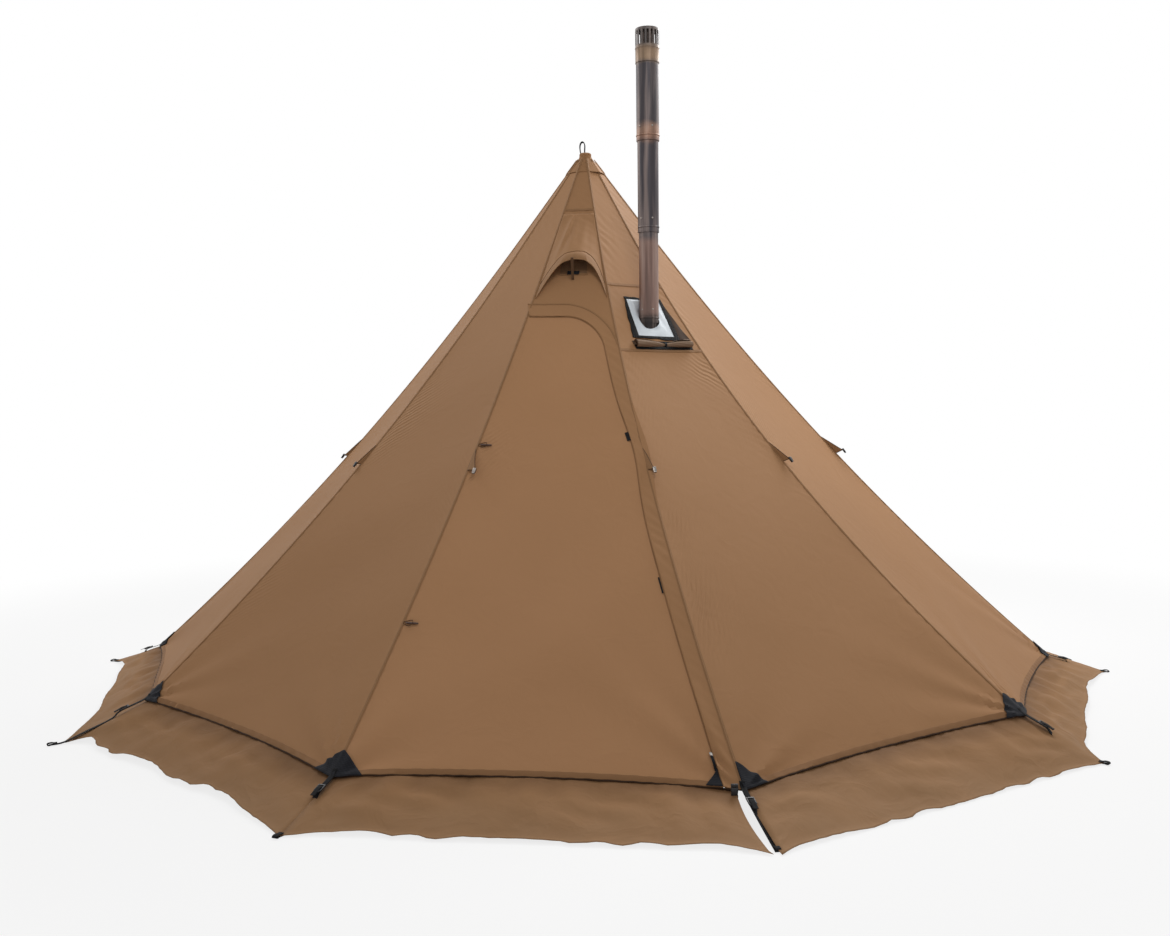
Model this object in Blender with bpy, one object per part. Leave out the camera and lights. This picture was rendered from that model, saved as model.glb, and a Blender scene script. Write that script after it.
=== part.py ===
"""Hot tent: a ten-sided single-pole shelter with a door, a hooded vent and a stove jack.

Metres, +Z up. The origin is on the ground under the pole, and the door faces -Y.
Corners and panels are numbered anticlockwise seen from above; panel 1 holds the door.
"""
import math

import bmesh
import bpy
from mathutils import Vector

# Fly: the ten-sided cone of cloth
SIDES = 10
CORNER_RADIUS = 2.25
APEX_HEIGHT = 2.594
HEM_HEIGHT = 0.10
HEM_ARCH = 0.02
RIDGE_SAG = 0.145
SAG_POWER = 1.17
RIDGE_TIP = 0.012
RIDGE_LEAN = 0.035
CLOTH = 0.003
GAP = 0.0003
# One share for each corner, from the corner right of the door, of the value it is named for
RADIUS_SHARES = (1.0, 1.0, 1.0, 1.0, 1.0, 1.0, 1.0, 1.01, 0.975, 1.0)
HEM_SHARES = (0.94, 1.34, 0.82, 1.0, 1.0, 1.0, 1.0, 0.90, 1.36, 1.06)
SAG_SHARES = (1.0, 1.68, 1.0, 1.0, 1.0, 1.0, 1.0, 1.0, 1.0, 1.0)
LEAN_SHARES = (-1.0, 0.0, 0.0, 0.0, 0.0, 0.0, 0.0, 0.0, 0.0, -0.4)

# Rows at which the cloth bends: two heights, the jack's band, and drops from the apex
KNEE_HEIGHT = 0.55
WAIST_HEIGHT = 1.09
BAND_DROP = 1.004
BAND_DEPTH = 0.310
VENT_SEAM_DROP = 0.314
NECK_DROP = 0.094
BAND_BOTTOM = APEX_HEIGHT - BAND_DROP
BAND_TOP = BAND_BOTTOM + BAND_DEPTH
VENT_SEAM = APEX_HEIGHT - VENT_SEAM_DROP
NECK_HEIGHT = APEX_HEIGHT - NECK_DROP
PANEL_COLUMNS = 6

# Door in the front panel
DOOR_HEAD = 0.160
DOOR_TOP = BAND_BOTTOM + DOOR_HEAD
DOOR_CORNER = 0.15
DOOR_COLUMNS = 4
CORNER_STEPS = 4
HINGE_STRIP = 0.025
ZIP_STRIP = 0.062
FLAP_WIDTH = 0.055
FLAP_THICKNESS = 0.002
FLAP_MARGIN = 0.004
SLIDER_WIDTH = 0.012
SLIDER_LENGTH = 0.050
SLIDER_THICKNESS = 0.006
SLIDER_RISE = 0.045
SLIDER_SEAT_SHARE = 0.6
SLIDER_PLACE_SHARES = (0.0, 0.35, 0.45, 1.0)
SLIDER_SIZE_SHARES = (1.0, 1.0, 0.5, 0.5)

# Vent in the front panel
VENT_SILL = 0.050
VENT_HEIGHT = 0.270
VENT_BOTTOM = BAND_TOP + VENT_SILL
VENT_TOP = VENT_BOTTOM + VENT_HEIGHT
VENT_SHARE = 0.44
MESH_THICKNESS = 0.0015
HOOD_SEAM_DROP = 0.020
HOOD_SIDE_DROP = 0.060
HOOD_TOP = VENT_SEAM - HOOD_SEAM_DROP
HOOD_SIDE = BAND_TOP - HOOD_SIDE_DROP
HOOD_ARCH = 0.17
HOOD_REACH = 0.10
HOOD_THICKNESS = 0.003
HOOD_MARGIN_SHARE = 0.03
HOOD_ROWS = 5
HOOD_COLUMNS = 12
STAY_RISE = 0.025
STAY_LENGTH = 0.105
STAY_WIDTH = 0.012
STAY_THICKNESS = 0.005
STAY_NOSE = 0.0022
STAY_HEADROOM = 0.015

# Stove jack in the panel right of the door
JACK_SHIFT = 0.017
WINDOW_WIDTH = 0.170
WINDOW_SILL = 0.075
WINDOW_HEIGHT = 0.165
WINDOW_BOTTOM = BAND_BOTTOM + WINDOW_SILL
WINDOW_TOP = WINDOW_BOTTOM + WINDOW_HEIGHT
PAD_MARGIN = 0.010
PAD_THICKNESS = 0.003
FRAME_WIDTH = 0.020
FRAME_THICKNESS = 0.005
ROLL_RISE = 0.023
ROLL_LENGTH = 0.340
ROLL_RADIUS = 0.017
ROLL_SIDES = 12
ROLL_PLACE_SHARES = (-0.5, -0.44, -0.2, -0.03, 0.0, 0.03, 0.2, 0.44, 0.5)
ROLL_SIZE_SHARES = (0.72, 0.95, 1.0, 0.72, 0.62, 0.72, 1.0, 0.95, 0.72)

# Flue: four nested sections and a spark arrestor
FLUE_RISE = 0.095
FLUE_RADIUS = 0.0408
FLUE_STEP = 0.0037
FLUE_WALL = 0.0015
FLUE_BOTTOM = 0.475
FLUE_JOINT_DROP = 0.041
FLUE_HEIGHT = WINDOW_BOTTOM + FLUE_RISE
FLUE_JOINT = FLUE_HEIGHT - FLUE_JOINT_DROP
SECTION_LENGTH = 0.414
FLUE_OVERLAP = 0.040
FLUE_BEAD = 0.012
FLUE_SECTIONS = 4
FLUE_SIDES = 24
SLEEVE_DROP = 0.065
SLEEVE_WALL = 0.002
SLOT_HEIGHT = 0.062
SLOT_COUNT = 18
RIM_HEIGHT = 0.014
LID_RADIUS_SHARE = 0.35

# Pole
POLE_RADIUS = 0.017
POLE_WALL = 0.002
POLE_JOINT = 1.32
POLE_INSERT = 0.40
POLE_TOP_DROP = 0.039
POLE_TOP = APEX_HEIGHT - POLE_TOP_DROP
COLLAR_RADIUS = 0.023
COLLAR_HEIGHT = 0.045
FOOT_RADIUS = 0.035
FOOT_THICKNESS = 0.006
POLE_SIDES = 16

# Cap over the apex
CAP_WALL = 0.004
CAP_SHOULDER = 0.048
CAP_SHOULDER_DROP = 0.038
CAP_TIP = 0.026

# Skirt round the hem
SKIRT_SPREAD = 0.295
SKIRT_RADIUS = CORNER_RADIUS + SKIRT_SPREAD
SKIRT_SPLIT = 0.030
SKIRT_THICKNESS = 0.003
SKIRT_FLAT = 0.018
SKIRT_PUFF = 0.016
SKIRT_FRAY = 0.060
SKIRT_RAISE = 0.018
SKIRT_EVEN_SHARE = 0.6
SKIRT_ROUND = 0.6
SKIRT_COLUMNS = 16
SKIRT_FOLDS = 3
SKIRT_ROW_SHARES = (0.0, 0.18, 0.42, 0.68, 1.0)
SKIRT_PANEL_SHARES = (0.6, 0.6, 1.8, 1.0, 1.0, 1.0, 1.0, 1.0, 2.2, 1.6)
DOOR_SKIRT_LIFT = 0.0005

# Straps, ladder locks and guy loops at the corners
STRAP_WIDTH = 0.025
STRAP_THICKNESS = 0.003
STRAP_RISE = 0.060
STRAP_CLEARANCE = 0.004
STRAP_BEYOND = 0.012
EYE_BORDER = 0.007
EYE_LENGTH = 0.016
BUCKLE_WIDTH = 0.034
BUCKLE_LENGTH = 0.030
BUCKLE_THICKNESS = 0.007
BUCKLE_LIP = 0.010
BUCKLE_PLACE_SHARE = 0.16
BUCKLE_LENGTH_SHARES = (0.0, 0.2, 0.8, 1.0)
BUCKLE_TOP_SHARES = (0.7, 1.0, 0.8, 0.8, 1.3)
BUCKLE_LOW_SHARES = (0.0, 0.0, 0.0, 0.2, 0.8)
BUCKLE_WIDTH_SHARES = (0.8, 1.0, 1.0, 0.8, 0.7)
GUY_WIDTH = 0.020
GUY_LENGTH = 0.105
GUY_THICKNESS = 0.003
GUY_RISE = 0.100
GUY_BORDER = 0.005
GUY_EYE = 0.018

HALF_STEP = math.pi / SIDES
FLUE_PHASE = 2 * HALF_STEP


def clear_scene():
    for thing in list(bpy.data.objects):
        bpy.data.objects.remove(thing, do_unlink=True)


def make_material(name, colour, roughness, metallic=0.0):
    material = bpy.data.materials.new(name)
    material.use_nodes = True
    shader = material.node_tree.nodes["Principled BSDF"]
    shader.inputs["Base Color"].default_value = (*colour, 1.0)
    shader.inputs["Roughness"].default_value = roughness
    shader.inputs["Metallic"].default_value = metallic
    return material


def finish_object(name, bm, material, origin=None, smooth=False):
    """Turn a closed bmesh in world coordinates into an object with its own origin."""
    bmesh.ops.recalc_face_normals(bm, faces=bm.faces)
    origin = origin or Vector((0.0, 0.0, 0.0))
    bmesh.ops.translate(bm, vec=-origin, verts=bm.verts)
    mesh = bpy.data.meshes.new(name)
    bm.to_mesh(mesh)
    bm.free()
    mesh.materials.append(material)
    if smooth:
        mesh.shade_smooth()
        mesh.set_sharp_from_angle(angle=math.radians(40))
    thing = bpy.data.objects.new(name, mesh)
    thing.location = origin
    bpy.context.collection.objects.link(thing)
    return thing


def grid_solid(name, rows, columns, outer, inner, material, keep=None, wrap=False,
               lids=False, origin=None, smooth=False):
    """Close a sheet whose two faces are the grids outer(i, j) and inner(i, j).

    keep(i, j) says which cells are cloth, so a cell left out is a hole. wrap joins the
    last column to the first, and lids closes the last row with a disc on each face.
    """
    bm = bmesh.new()
    made = {}

    def corner(side, i, j):
        key = (side, i, j % columns if wrap else j)
        if key not in made:
            made[key] = bm.verts.new((outer if side else inner)(i, key[2]))
        return made[key]

    def kept(i, j):
        if wrap:
            j %= columns
        inside = 0 <= i < rows and 0 <= j < columns
        return inside and (keep is None or keep(i, j))

    for i in range(rows):
        for j in range(columns):
            if not kept(i, j):
                continue
            ring = ((i, j), (i, j + 1), (i + 1, j + 1), (i + 1, j))
            beyond = ((i - 1, j), (i, j + 1), (i + 1, j), (i, j - 1))
            for side in (0, 1):
                bm.faces.new([corner(side, *place) for place in ring])
            for k, other in enumerate(beyond):
                if kept(*other) or (lids and k == 2 and i == rows - 1):
                    continue
                first, last = ring[k], ring[(k + 1) % 4]
                bm.faces.new((corner(1, *first), corner(0, *first),
                              corner(0, *last), corner(1, *last)))
    if lids:
        for side in (0, 1):
            bm.faces.new([corner(side, rows, j) for j in range(columns)])
    return finish_object(name, bm, material, origin, smooth)


def turned(name, profile, centre, material, sides, phase=0.0, origin=None):
    """Turn a closed profile of (radius, height) about a vertical axis."""
    bm = bmesh.new()
    rings = []
    for radius, height in profile:
        turns = sides if radius > 0.0 else 1
        ring = []
        for k in range(turns):
            angle = phase + math.tau * k / sides
            ring.append(bm.verts.new((centre.x + radius * math.cos(angle),
                                      centre.y + radius * math.sin(angle), height)))
        rings.append(ring)
    for ring, following in zip(rings, rings[1:] + rings[:1]):
        if len(ring) == 1 and len(following) == 1:
            continue
        for k in range(sides):
            corners = [ring[k % len(ring)], ring[(k + 1) % len(ring)],
                       following[(k + 1) % len(following)], following[k % len(following)]]
            bm.faces.new(list(dict.fromkeys(corners)))
    return finish_object(name, bm, material, origin, smooth=True)


def radial(corner):
    angle = (2 * corner + 1) * HALF_STEP
    return Vector((math.sin(angle), -math.cos(angle), 0.0))


def tangent(corner):
    angle = (2 * corner + 1) * HALF_STEP
    return Vector((math.cos(angle), math.sin(angle), 0.0))


def facing(panel):
    """Return the outward and the rightward level directions of a panel."""
    angle = 2 * panel * HALF_STEP
    return (Vector((math.sin(angle), -math.cos(angle), 0.0)),
            Vector((math.cos(angle), math.sin(angle), 0.0)))


ROW_HEIGHTS = (HEM_HEIGHT, KNEE_HEIGHT, WAIST_HEIGHT, BAND_BOTTOM, BAND_TOP, VENT_SEAM, NECK_HEIGHT)


def row_radius(corner, height):
    """Return a ridge's radius at a row: a straight line to the apex, less its sag."""
    climb = (height - HEM_HEIGHT) / (APEX_HEIGHT - HEM_HEIGHT)
    radius = CORNER_RADIUS * (1 - climb) + RIDGE_TIP * climb
    sag = 4 * RIDGE_SAG * climb * (1 - climb) ** SAG_POWER
    return (radius - sag * SAG_SHARES[corner]) * RADIUS_SHARES[corner]


def row_lean(corner, height):
    """Return how far a ridge is drawn sideways at a row."""
    climb = (height - HEM_HEIGHT) / (APEX_HEIGHT - HEM_HEIGHT)
    return 4 * RIDGE_LEAN * LEAN_SHARES[corner] * climb * (1 - climb)


def between_rows(value, corner, height):
    """Return a row's value(corner, height), run straight from each row to the next."""
    corner %= SIDES
    last = len(ROW_HEIGHTS) - 2
    row = min(last, sum(height > level for level in ROW_HEIGHTS[1:]))
    low, high = ROW_HEIGHTS[row], ROW_HEIGHTS[row + 1]
    share = (height - low) / (high - low)
    return value(corner, low) * (1 - share) + value(corner, high) * share


def ridge_radius(corner, height):
    return between_rows(row_radius, corner, height)


def ridge_aside(corner, height):
    return tangent(corner) * between_rows(row_lean, corner, height)


def ridge_point(corner, height, inward=0.0):
    level = radial(corner) * (ridge_radius(corner, height) - inward)
    return level + ridge_aside(corner, height) + Vector((0.0, 0.0, height))


def panel_edges(panel, height, inward=0.0):
    half = GAP / 2
    left = ridge_point(panel - 1, height, inward) + tangent(panel - 1) * half
    right = ridge_point(panel, height, inward) - tangent(panel) * half
    return left, right


def panel_point(panel, share, height, inward=0.0, lift=0.0):
    """Return the point at a share of the way across a panel; lift moves it level outwards."""
    left, right = panel_edges(panel, height, inward)
    return left.lerp(right, share) + facing(panel)[0] * lift


def panel_width(panel, height):
    left, right = panel_edges(panel, height)
    return (right - left).length


def even_shares(count):
    return [k / count for k in range(count + 1)]


def hem_knots(panel):
    """Return the shares across a panel at which its hem bends."""
    return [0.0] + door_lines(HEM_HEIGHT) + [1.0] if panel == 0 else even_shares(PANEL_COLUMNS)


def hem_height(panel, share):
    """Return the hem's height, straight from each knot of its arch to the next."""
    low = HEM_HEIGHT * HEM_SHARES[(panel - 1) % SIDES]
    high = HEM_HEIGHT * HEM_SHARES[panel % SIDES]
    knots = hem_knots(panel)
    last = len(knots) - 2
    k = min(last, sum(share > knot for knot in knots[1:]))
    start, end = knots[k], knots[k + 1]
    along = (share - start) / (end - start)
    arch = 4 * HEM_ARCH * (start * (1 - start) * (1 - along) + end * (1 - end) * along)
    return low + (high - low) * share + arch


def centre_share(panel, height, offset):
    """Return the share across a panel of a place offset from its middle."""
    return 0.5 + offset / panel_width(panel, height)


def panel_solid(name, panel, heights, lines, material, keep=None):
    """Make a panel from its row heights and its lines(row, height), shares across it."""

    def place(i, j, inward):
        share = lines(i, heights[i])[j]
        height = hem_height(panel, share) if i == 0 else heights[i]
        return panel_point(panel, share, height, inward)

    columns = len(lines(0, heights[0])) - 1
    return grid_solid(name, len(heights) - 1, columns, lambda i, j: place(i, j, 0.0),
                      lambda i, j: place(i, j, CLOTH), material, keep)


def plain_lines(row, height):
    return even_shares(PANEL_COLUMNS)


def zip_offset(height, clearance=0.0):
    """Return how far the door's free edge lies from the right ridge."""
    start = DOOR_TOP - clearance - DOOR_CORNER
    rise = min(max(height - start, 0.0), DOOR_CORNER)
    turn = DOOR_CORNER - math.sqrt(DOOR_CORNER ** 2 - rise ** 2)
    return ZIP_STRIP + clearance + turn


def door_rows(clearance=0.0):
    start = DOOR_TOP - clearance - DOOR_CORNER
    turns = [math.pi / 2 * share for share in even_shares(CORNER_STEPS)[1:]]
    arc = [start + DOOR_CORNER * math.sin(turn) for turn in turns]
    return [HEM_HEIGHT, KNEE_HEIGHT, WAIST_HEIGHT, BAND_BOTTOM] + arc


def door_lines(height, clearance=0.0):
    """Return the shares of the door's column lines at a height, hinge side first."""
    width = panel_width(0, height)
    low = (HINGE_STRIP + clearance) / width
    high = 1 - zip_offset(height, clearance) / width
    return [low + (high - low) * share for share in even_shares(DOOR_COLUMNS)]


def make_front_panel(material):
    heights = door_rows() + [BAND_TOP, VENT_BOTTOM, VENT_TOP, VENT_SEAM, NECK_HEIGHT]
    top_row = len(door_rows()) - 1
    vent_row = heights.index(VENT_BOTTOM)
    half = VENT_SHARE / 2
    upper = [0.0, (0.5 - half) / 2, 0.5 - half, 0.5, 0.5 + half, 1 - (0.5 - half) / 2, 1.0]

    def lines(row, height):
        return [0.0] + door_lines(height) + [1.0] if row <= top_row else upper

    def keep(i, j):
        in_door = i < top_row and 1 <= j <= DOOR_COLUMNS
        in_vent = i == vent_row and 2 <= j <= 3
        return not in_door and not in_vent

    return panel_solid("fly_panel_01_front", 0, heights, lines, material, keep)


def make_jack_panel(material):
    heights = [HEM_HEIGHT, KNEE_HEIGHT, WAIST_HEIGHT, BAND_BOTTOM, WINDOW_BOTTOM, WINDOW_TOP,
               BAND_TOP, VENT_SEAM, NECK_HEIGHT]

    def lines(row, height):
        if height not in (WINDOW_BOTTOM, WINDOW_TOP):
            return plain_lines(row, height)
        low = centre_share(1, height, JACK_SHIFT - WINDOW_WIDTH / 2)
        high = centre_share(1, height, JACK_SHIFT + WINDOW_WIDTH / 2)
        return [0.0, low / 2, low, (low + high) / 2, high, (1 + high) / 2, 1.0]

    def keep(i, j):
        return not (heights[i] == WINDOW_BOTTOM and 2 <= j <= 3)

    return panel_solid("fly_panel_02_jack", 1, heights, lines, material, keep)


def make_fly(material):
    make_front_panel(material)
    make_jack_panel(material)
    for panel in range(2, SIDES):
        panel_solid(f"fly_panel_{panel + 1:02d}", panel, list(ROW_HEIGHTS), plain_lines, material)


def hinge_origin():
    return ridge_point(SIDES - 1, hem_height(0, 0.0))


def make_door(material):
    heights = door_rows(GAP)

    def place(i, j, inward):
        share = door_lines(heights[i], GAP)[j]
        height = hem_height(0, share) if i == 0 else heights[i]
        return panel_point(0, share, height, inward)

    grid_solid("door_leaf", len(heights) - 1, DOOR_COLUMNS, lambda i, j: place(i, j, 0.0),
               lambda i, j: place(i, j, CLOTH), material, origin=hinge_origin())


def flap_path():
    """Return the storm flap's two edges as (offset from right ridge, height) pairs."""
    start = DOOR_TOP - DOOR_CORNER
    centre = ZIP_STRIP + DOOR_CORNER
    far = panel_width(0, DOOR_TOP) - FLAP_MARGIN
    path = [((far, DOOR_TOP), (far - FLAP_WIDTH / 4, DOOR_TOP + FLAP_WIDTH))]
    wide = DOOR_CORNER + FLAP_WIDTH
    for share in even_shares(CORNER_STEPS):
        turn = math.pi / 2 * share
        path.append(((centre - DOOR_CORNER * math.sin(turn), start + DOOR_CORNER * math.cos(turn)),
                     (centre - wide * math.sin(turn), start + wide * math.cos(turn))))
    for height in (BAND_BOTTOM, WAIST_HEIGHT, KNEE_HEIGHT, HEM_HEIGHT):
        path.append(((ZIP_STRIP, height), (ZIP_STRIP - FLAP_WIDTH, height)))
    return path


def make_storm_flap(material):
    path = flap_path()

    def place(i, j, lift):
        offset, height = path[j][i]
        share = 1 - offset / panel_width(0, height)
        if height == HEM_HEIGHT:
            height = hem_height(0, share)
        return panel_point(0, share, height, lift=lift)

    level = 2 * GAP
    grid_solid("storm_flap", 1, len(path) - 1, lambda i, j: place(i, j, level + FLAP_THICKNESS),
               lambda i, j: place(i, j, level), material)


def slider_frame():
    """Return the zip slider's lower end and its unit direction up the door's free edge."""
    low = hem_height(0, 1.0) + SLIDER_RISE
    places = []
    for height in (low, KNEE_HEIGHT):
        offset = zip_offset(height, GAP) + SLIDER_WIDTH * SLIDER_SEAT_SHARE
        places.append(panel_point(0, 1 - offset / panel_width(0, height), height))
    return places[0], (places[1] - places[0]).normalized()


def make_zip_slider(material):
    foot, along = slider_frame()
    across = facing(0)[1]
    across = (across - along * across.dot(along)).normalized()
    normal = across.cross(along).normalized()

    def place(i, j, thickness):
        size = SLIDER_SIZE_SHARES[i]
        spot = foot + along * (SLIDER_LENGTH * SLIDER_PLACE_SHARES[i])
        return spot + across * (SLIDER_WIDTH * size * (j - 0.5)) + normal * (GAP + thickness * size)

    grid_solid("zip_slider", len(SLIDER_PLACE_SHARES) - 1, 1,
               lambda i, j: place(i, j, SLIDER_THICKNESS),
               lambda i, j: place(i, j, 0.0), material, origin=foot)


def make_vent(cloth, netting, stiff):
    half = VENT_SHARE / 2

    def mesh_place(i, j, inward):
        height = (VENT_BOTTOM + GAP, VENT_TOP - GAP)[i]
        edge = GAP / panel_width(0, height)
        share = 0.5 + (half - edge) * (2 * j - 1)
        return panel_point(0, share, height, inward)

    grid_solid("vent_mesh", 1, 1, lambda i, j: mesh_place(i, j, GAP),
               lambda i, j: mesh_place(i, j, GAP + MESH_THICKNESS), netting)

    def hood_place(i, j, thickness):
        fall = i / HOOD_ROWS
        across = j / HOOD_COLUMNS
        crown = 1 - (2 * across - 1) ** 2
        share = HOOD_MARGIN_SHARE + (1 - 2 * HOOD_MARGIN_SHARE) * across
        height = HOOD_TOP + (HOOD_SIDE + HOOD_ARCH * crown - HOOD_TOP) * fall
        return panel_point(0, share, height, lift=2 * GAP + HOOD_REACH * fall * crown + thickness)

    grid_solid("vent_hood", HOOD_ROWS, HOOD_COLUMNS, lambda i, j: hood_place(i, j, HOOD_THICKNESS),
               lambda i, j: hood_place(i, j, 0.0), cloth)

    foot, out = stay_frame()
    normal = facing(0)[1].cross(out)
    level = facing(0)[1]
    half = STAY_THICKNESS / 2
    profile = ((-STAY_NOSE, half / 2), (0.0, half), (STAY_LENGTH, half))

    def stay_place(i, j, side):
        along, deep = profile[i]
        return foot + out * along + level * (STAY_WIDTH * (j - 0.5)) + normal * (deep * side)

    grid_solid("vent_stay", len(profile) - 1, 1, lambda i, j: stay_place(i, j, 1),
               lambda i, j: stay_place(i, j, -1), stiff, origin=foot)


def panel_across(panel, height):
    """Return the unit direction from a panel's left ridge to its right one."""
    left, right = panel_edges(panel, height)
    return (right - left).normalized()


def panel_normal(panel, low, high):
    """Return the unit normal of a panel between two heights of one row."""
    climb = panel_point(panel, 0.5, high) - panel_point(panel, 0.5, low)
    return panel_across(panel, (low + high) / 2).cross(climb).normalized()


def stay_frame():
    """Return the vent stay's pivot on the panel and the unit direction of its length."""
    spot = panel_point(0, 0.5, BAND_TOP + STAY_RISE)
    hood = panel_point(0, 0.5, HOOD_SIDE + HOOD_ARCH, lift=HOOD_REACH)
    aim = (hood - spot - Vector((0.0, 0.0, STAY_HEADROOM))).normalized()
    normal = panel_normal(0, BAND_TOP, VENT_SEAM)
    return spot + normal * (GAP + STAY_THICKNESS / 2), aim


def flue_centre():
    return panel_point(1, centre_share(1, FLUE_HEIGHT, JACK_SHIFT), FLUE_HEIGHT)


def make_heat_panel(material):
    """A square pad whose hole is cut straight up, so that it fits round the flue."""
    centre = flue_centre()
    outward, across = facing(1)
    width = WINDOW_WIDTH + 2 * PAD_MARGIN
    bottom, top = WINDOW_BOTTOM - PAD_MARGIN, WINDOW_TOP + PAD_MARGIN
    normal = panel_normal(1, WINDOW_BOTTOM, WINDOW_TOP)
    hole = FLUE_RADIUS + FLUE_STEP + GAP

    def rim(k):
        angle = math.tau * k / FLUE_SIDES + FLUE_PHASE
        return math.cos(angle), math.sin(angle)

    def place(i, k, lift):
        cos, sin = rim(k)
        if i == 1:
            aside = Vector((hole * cos, hole * sin, 0.0))
            rise = (outward * lift - aside).dot(normal) / normal.z
            return centre + aside + Vector((0.0, 0.0, rise))
        direction = Vector((cos, sin, 0.0))
        sideways, level = direction.dot(across), direction.dot(outward)
        stretch = 1 / max(abs(sideways), abs(level))
        half_height = (top - bottom) / 2
        height = (bottom + top) / 2 - half_height * level * stretch
        offset = JACK_SHIFT + width / 2 * sideways * stretch
        return panel_point(1, centre_share(1, height, offset), height, lift=lift)

    level = 3 * GAP
    grid_solid("jack_heat_panel", 1, FLUE_SIDES, lambda i, j: place(i, j, level + PAD_THICKNESS),
               lambda i, j: place(i, j, level), material, wrap=True)


def make_jack(heatproof, border, cloth):
    make_heat_panel(heatproof)
    inner_width = WINDOW_WIDTH + 2 * (PAD_MARGIN + GAP)
    inner_bottom, inner_top = WINDOW_BOTTOM - PAD_MARGIN - GAP, WINDOW_TOP + PAD_MARGIN + GAP
    heights = (inner_bottom - FRAME_WIDTH, inner_bottom, inner_top, inner_top + FRAME_WIDTH / 2)
    half = inner_width / 2
    offsets = (-half - FRAME_WIDTH, -half, half, half + FRAME_WIDTH)

    def place(i, j, lift):
        share = centre_share(1, heights[i], JACK_SHIFT + offsets[j])
        return panel_point(1, share, heights[i], lift=lift)

    level = 2 * GAP
    grid_solid("jack_frame", 3, 3, lambda i, j: place(i, j, level + FRAME_THICKNESS),
               lambda i, j: place(i, j, level), border, keep=lambda i, j: (i, j) != (1, 1))
    make_rain_roll(cloth)


def roll_frame():
    """Return the rolled rain flap's middle, its length direction, its normal and its seam."""
    level = BAND_BOTTOM + ROLL_RISE
    across = panel_across(1, level)
    normal = panel_normal(1, level - ROLL_RADIUS, level + ROLL_RADIUS)
    foot = panel_point(1, centre_share(1, level, JACK_SHIFT), level)
    seam = foot - normal.cross(across) * ROLL_RADIUS
    return foot + normal * (ROLL_RADIUS + GAP), across, normal, seam


def make_rain_roll(material):
    middle, across, normal, seam = roll_frame()
    up = normal.cross(across)
    bm = bmesh.new()
    rings = []
    for place, size_share in zip(ROLL_PLACE_SHARES, ROLL_SIZE_SHARES):
        radius = ROLL_RADIUS * size_share
        ring = []
        for k in range(ROLL_SIDES):
            angle = math.tau * k / ROLL_SIDES
            spot = middle + across * (ROLL_LENGTH * place)
            spot += normal * (radius * math.cos(angle)) + up * (radius * math.sin(angle))
            ring.append(bm.verts.new(spot))
        rings.append(ring)
    for ring, following in zip(rings, rings[1:]):
        for k in range(ROLL_SIDES):
            after = (k + 1) % ROLL_SIDES
            bm.faces.new((ring[k], ring[after], following[after], following[k]))
    bm.faces.new(rings[0])
    bm.faces.new(rings[-1])
    finish_object("rain_flap_roll", bm, material, origin=seam, smooth=True)


def section_radius(section):
    return FLUE_RADIUS + FLUE_STEP * section


def section_span(section):
    bottom = FLUE_BOTTOM if section == 0 else FLUE_JOINT + SECTION_LENGTH * (section - 1)
    top = FLUE_JOINT + SECTION_LENGTH * section
    return bottom, top + (0.0 if section == FLUE_SECTIONS - 1 else FLUE_OVERLAP)


def make_flue(steel, tinted):
    centre = flue_centre()
    for section in range(FLUE_SECTIONS):
        radius = section_radius(section)
        bottom, top = section_span(section)
        bore = radius - FLUE_WALL
        bead = bore if section == 0 else section_radius(section - 1) + GAP
        profile = [(radius, bottom), (radius, top), (bore, top)]
        if section:
            profile += [(bore, bottom + FLUE_BEAD), (bead, bottom + FLUE_BEAD)]
        profile.append((bead, bottom))
        origin = Vector((centre.x, centre.y, bottom))
        turned(f"flue_section_{section + 1}", profile, centre, steel, FLUE_SIDES, FLUE_PHASE, origin)
    make_arrestor(centre, tinted)


def make_arrestor(centre, material):
    inner_radius = section_radius(FLUE_SECTIONS - 1) + GAP
    radius = inner_radius + SLEEVE_WALL
    top = section_span(FLUE_SECTIONS - 1)[1]
    slot_low = top + RIM_HEIGHT
    slot_high = slot_low + SLOT_HEIGHT
    lid = slot_high + RIM_HEIGHT
    columns = 2 * SLOT_COUNT
    outside = ((radius, top - SLEEVE_DROP), (radius, slot_low), (radius, slot_high),
               (radius, lid), (radius * LID_RADIUS_SHARE, lid))
    inside = ((inner_radius, top - SLEEVE_DROP), (inner_radius, slot_low), (inner_radius, slot_high),
              (inner_radius, lid - SLEEVE_WALL), (radius * LID_RADIUS_SHARE, lid - SLEEVE_WALL))

    def place(spots, i, j):
        spread, height = spots[i]
        angle = FLUE_PHASE + math.tau * j / columns
        around = Vector((math.cos(angle), math.sin(angle), 0.0))
        return centre.xy.to_3d() + around * spread + Vector((0.0, 0.0, height))

    grid_solid("spark_arrestor", 4, columns, lambda i, j: place(outside, i, j),
               lambda i, j: place(inside, i, j), material, wrap=True, lids=True,
               keep=lambda i, j: not (i == 1 and j % 2), smooth=True,
               origin=Vector((centre.x, centre.y, top - SLEEVE_DROP)))


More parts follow.
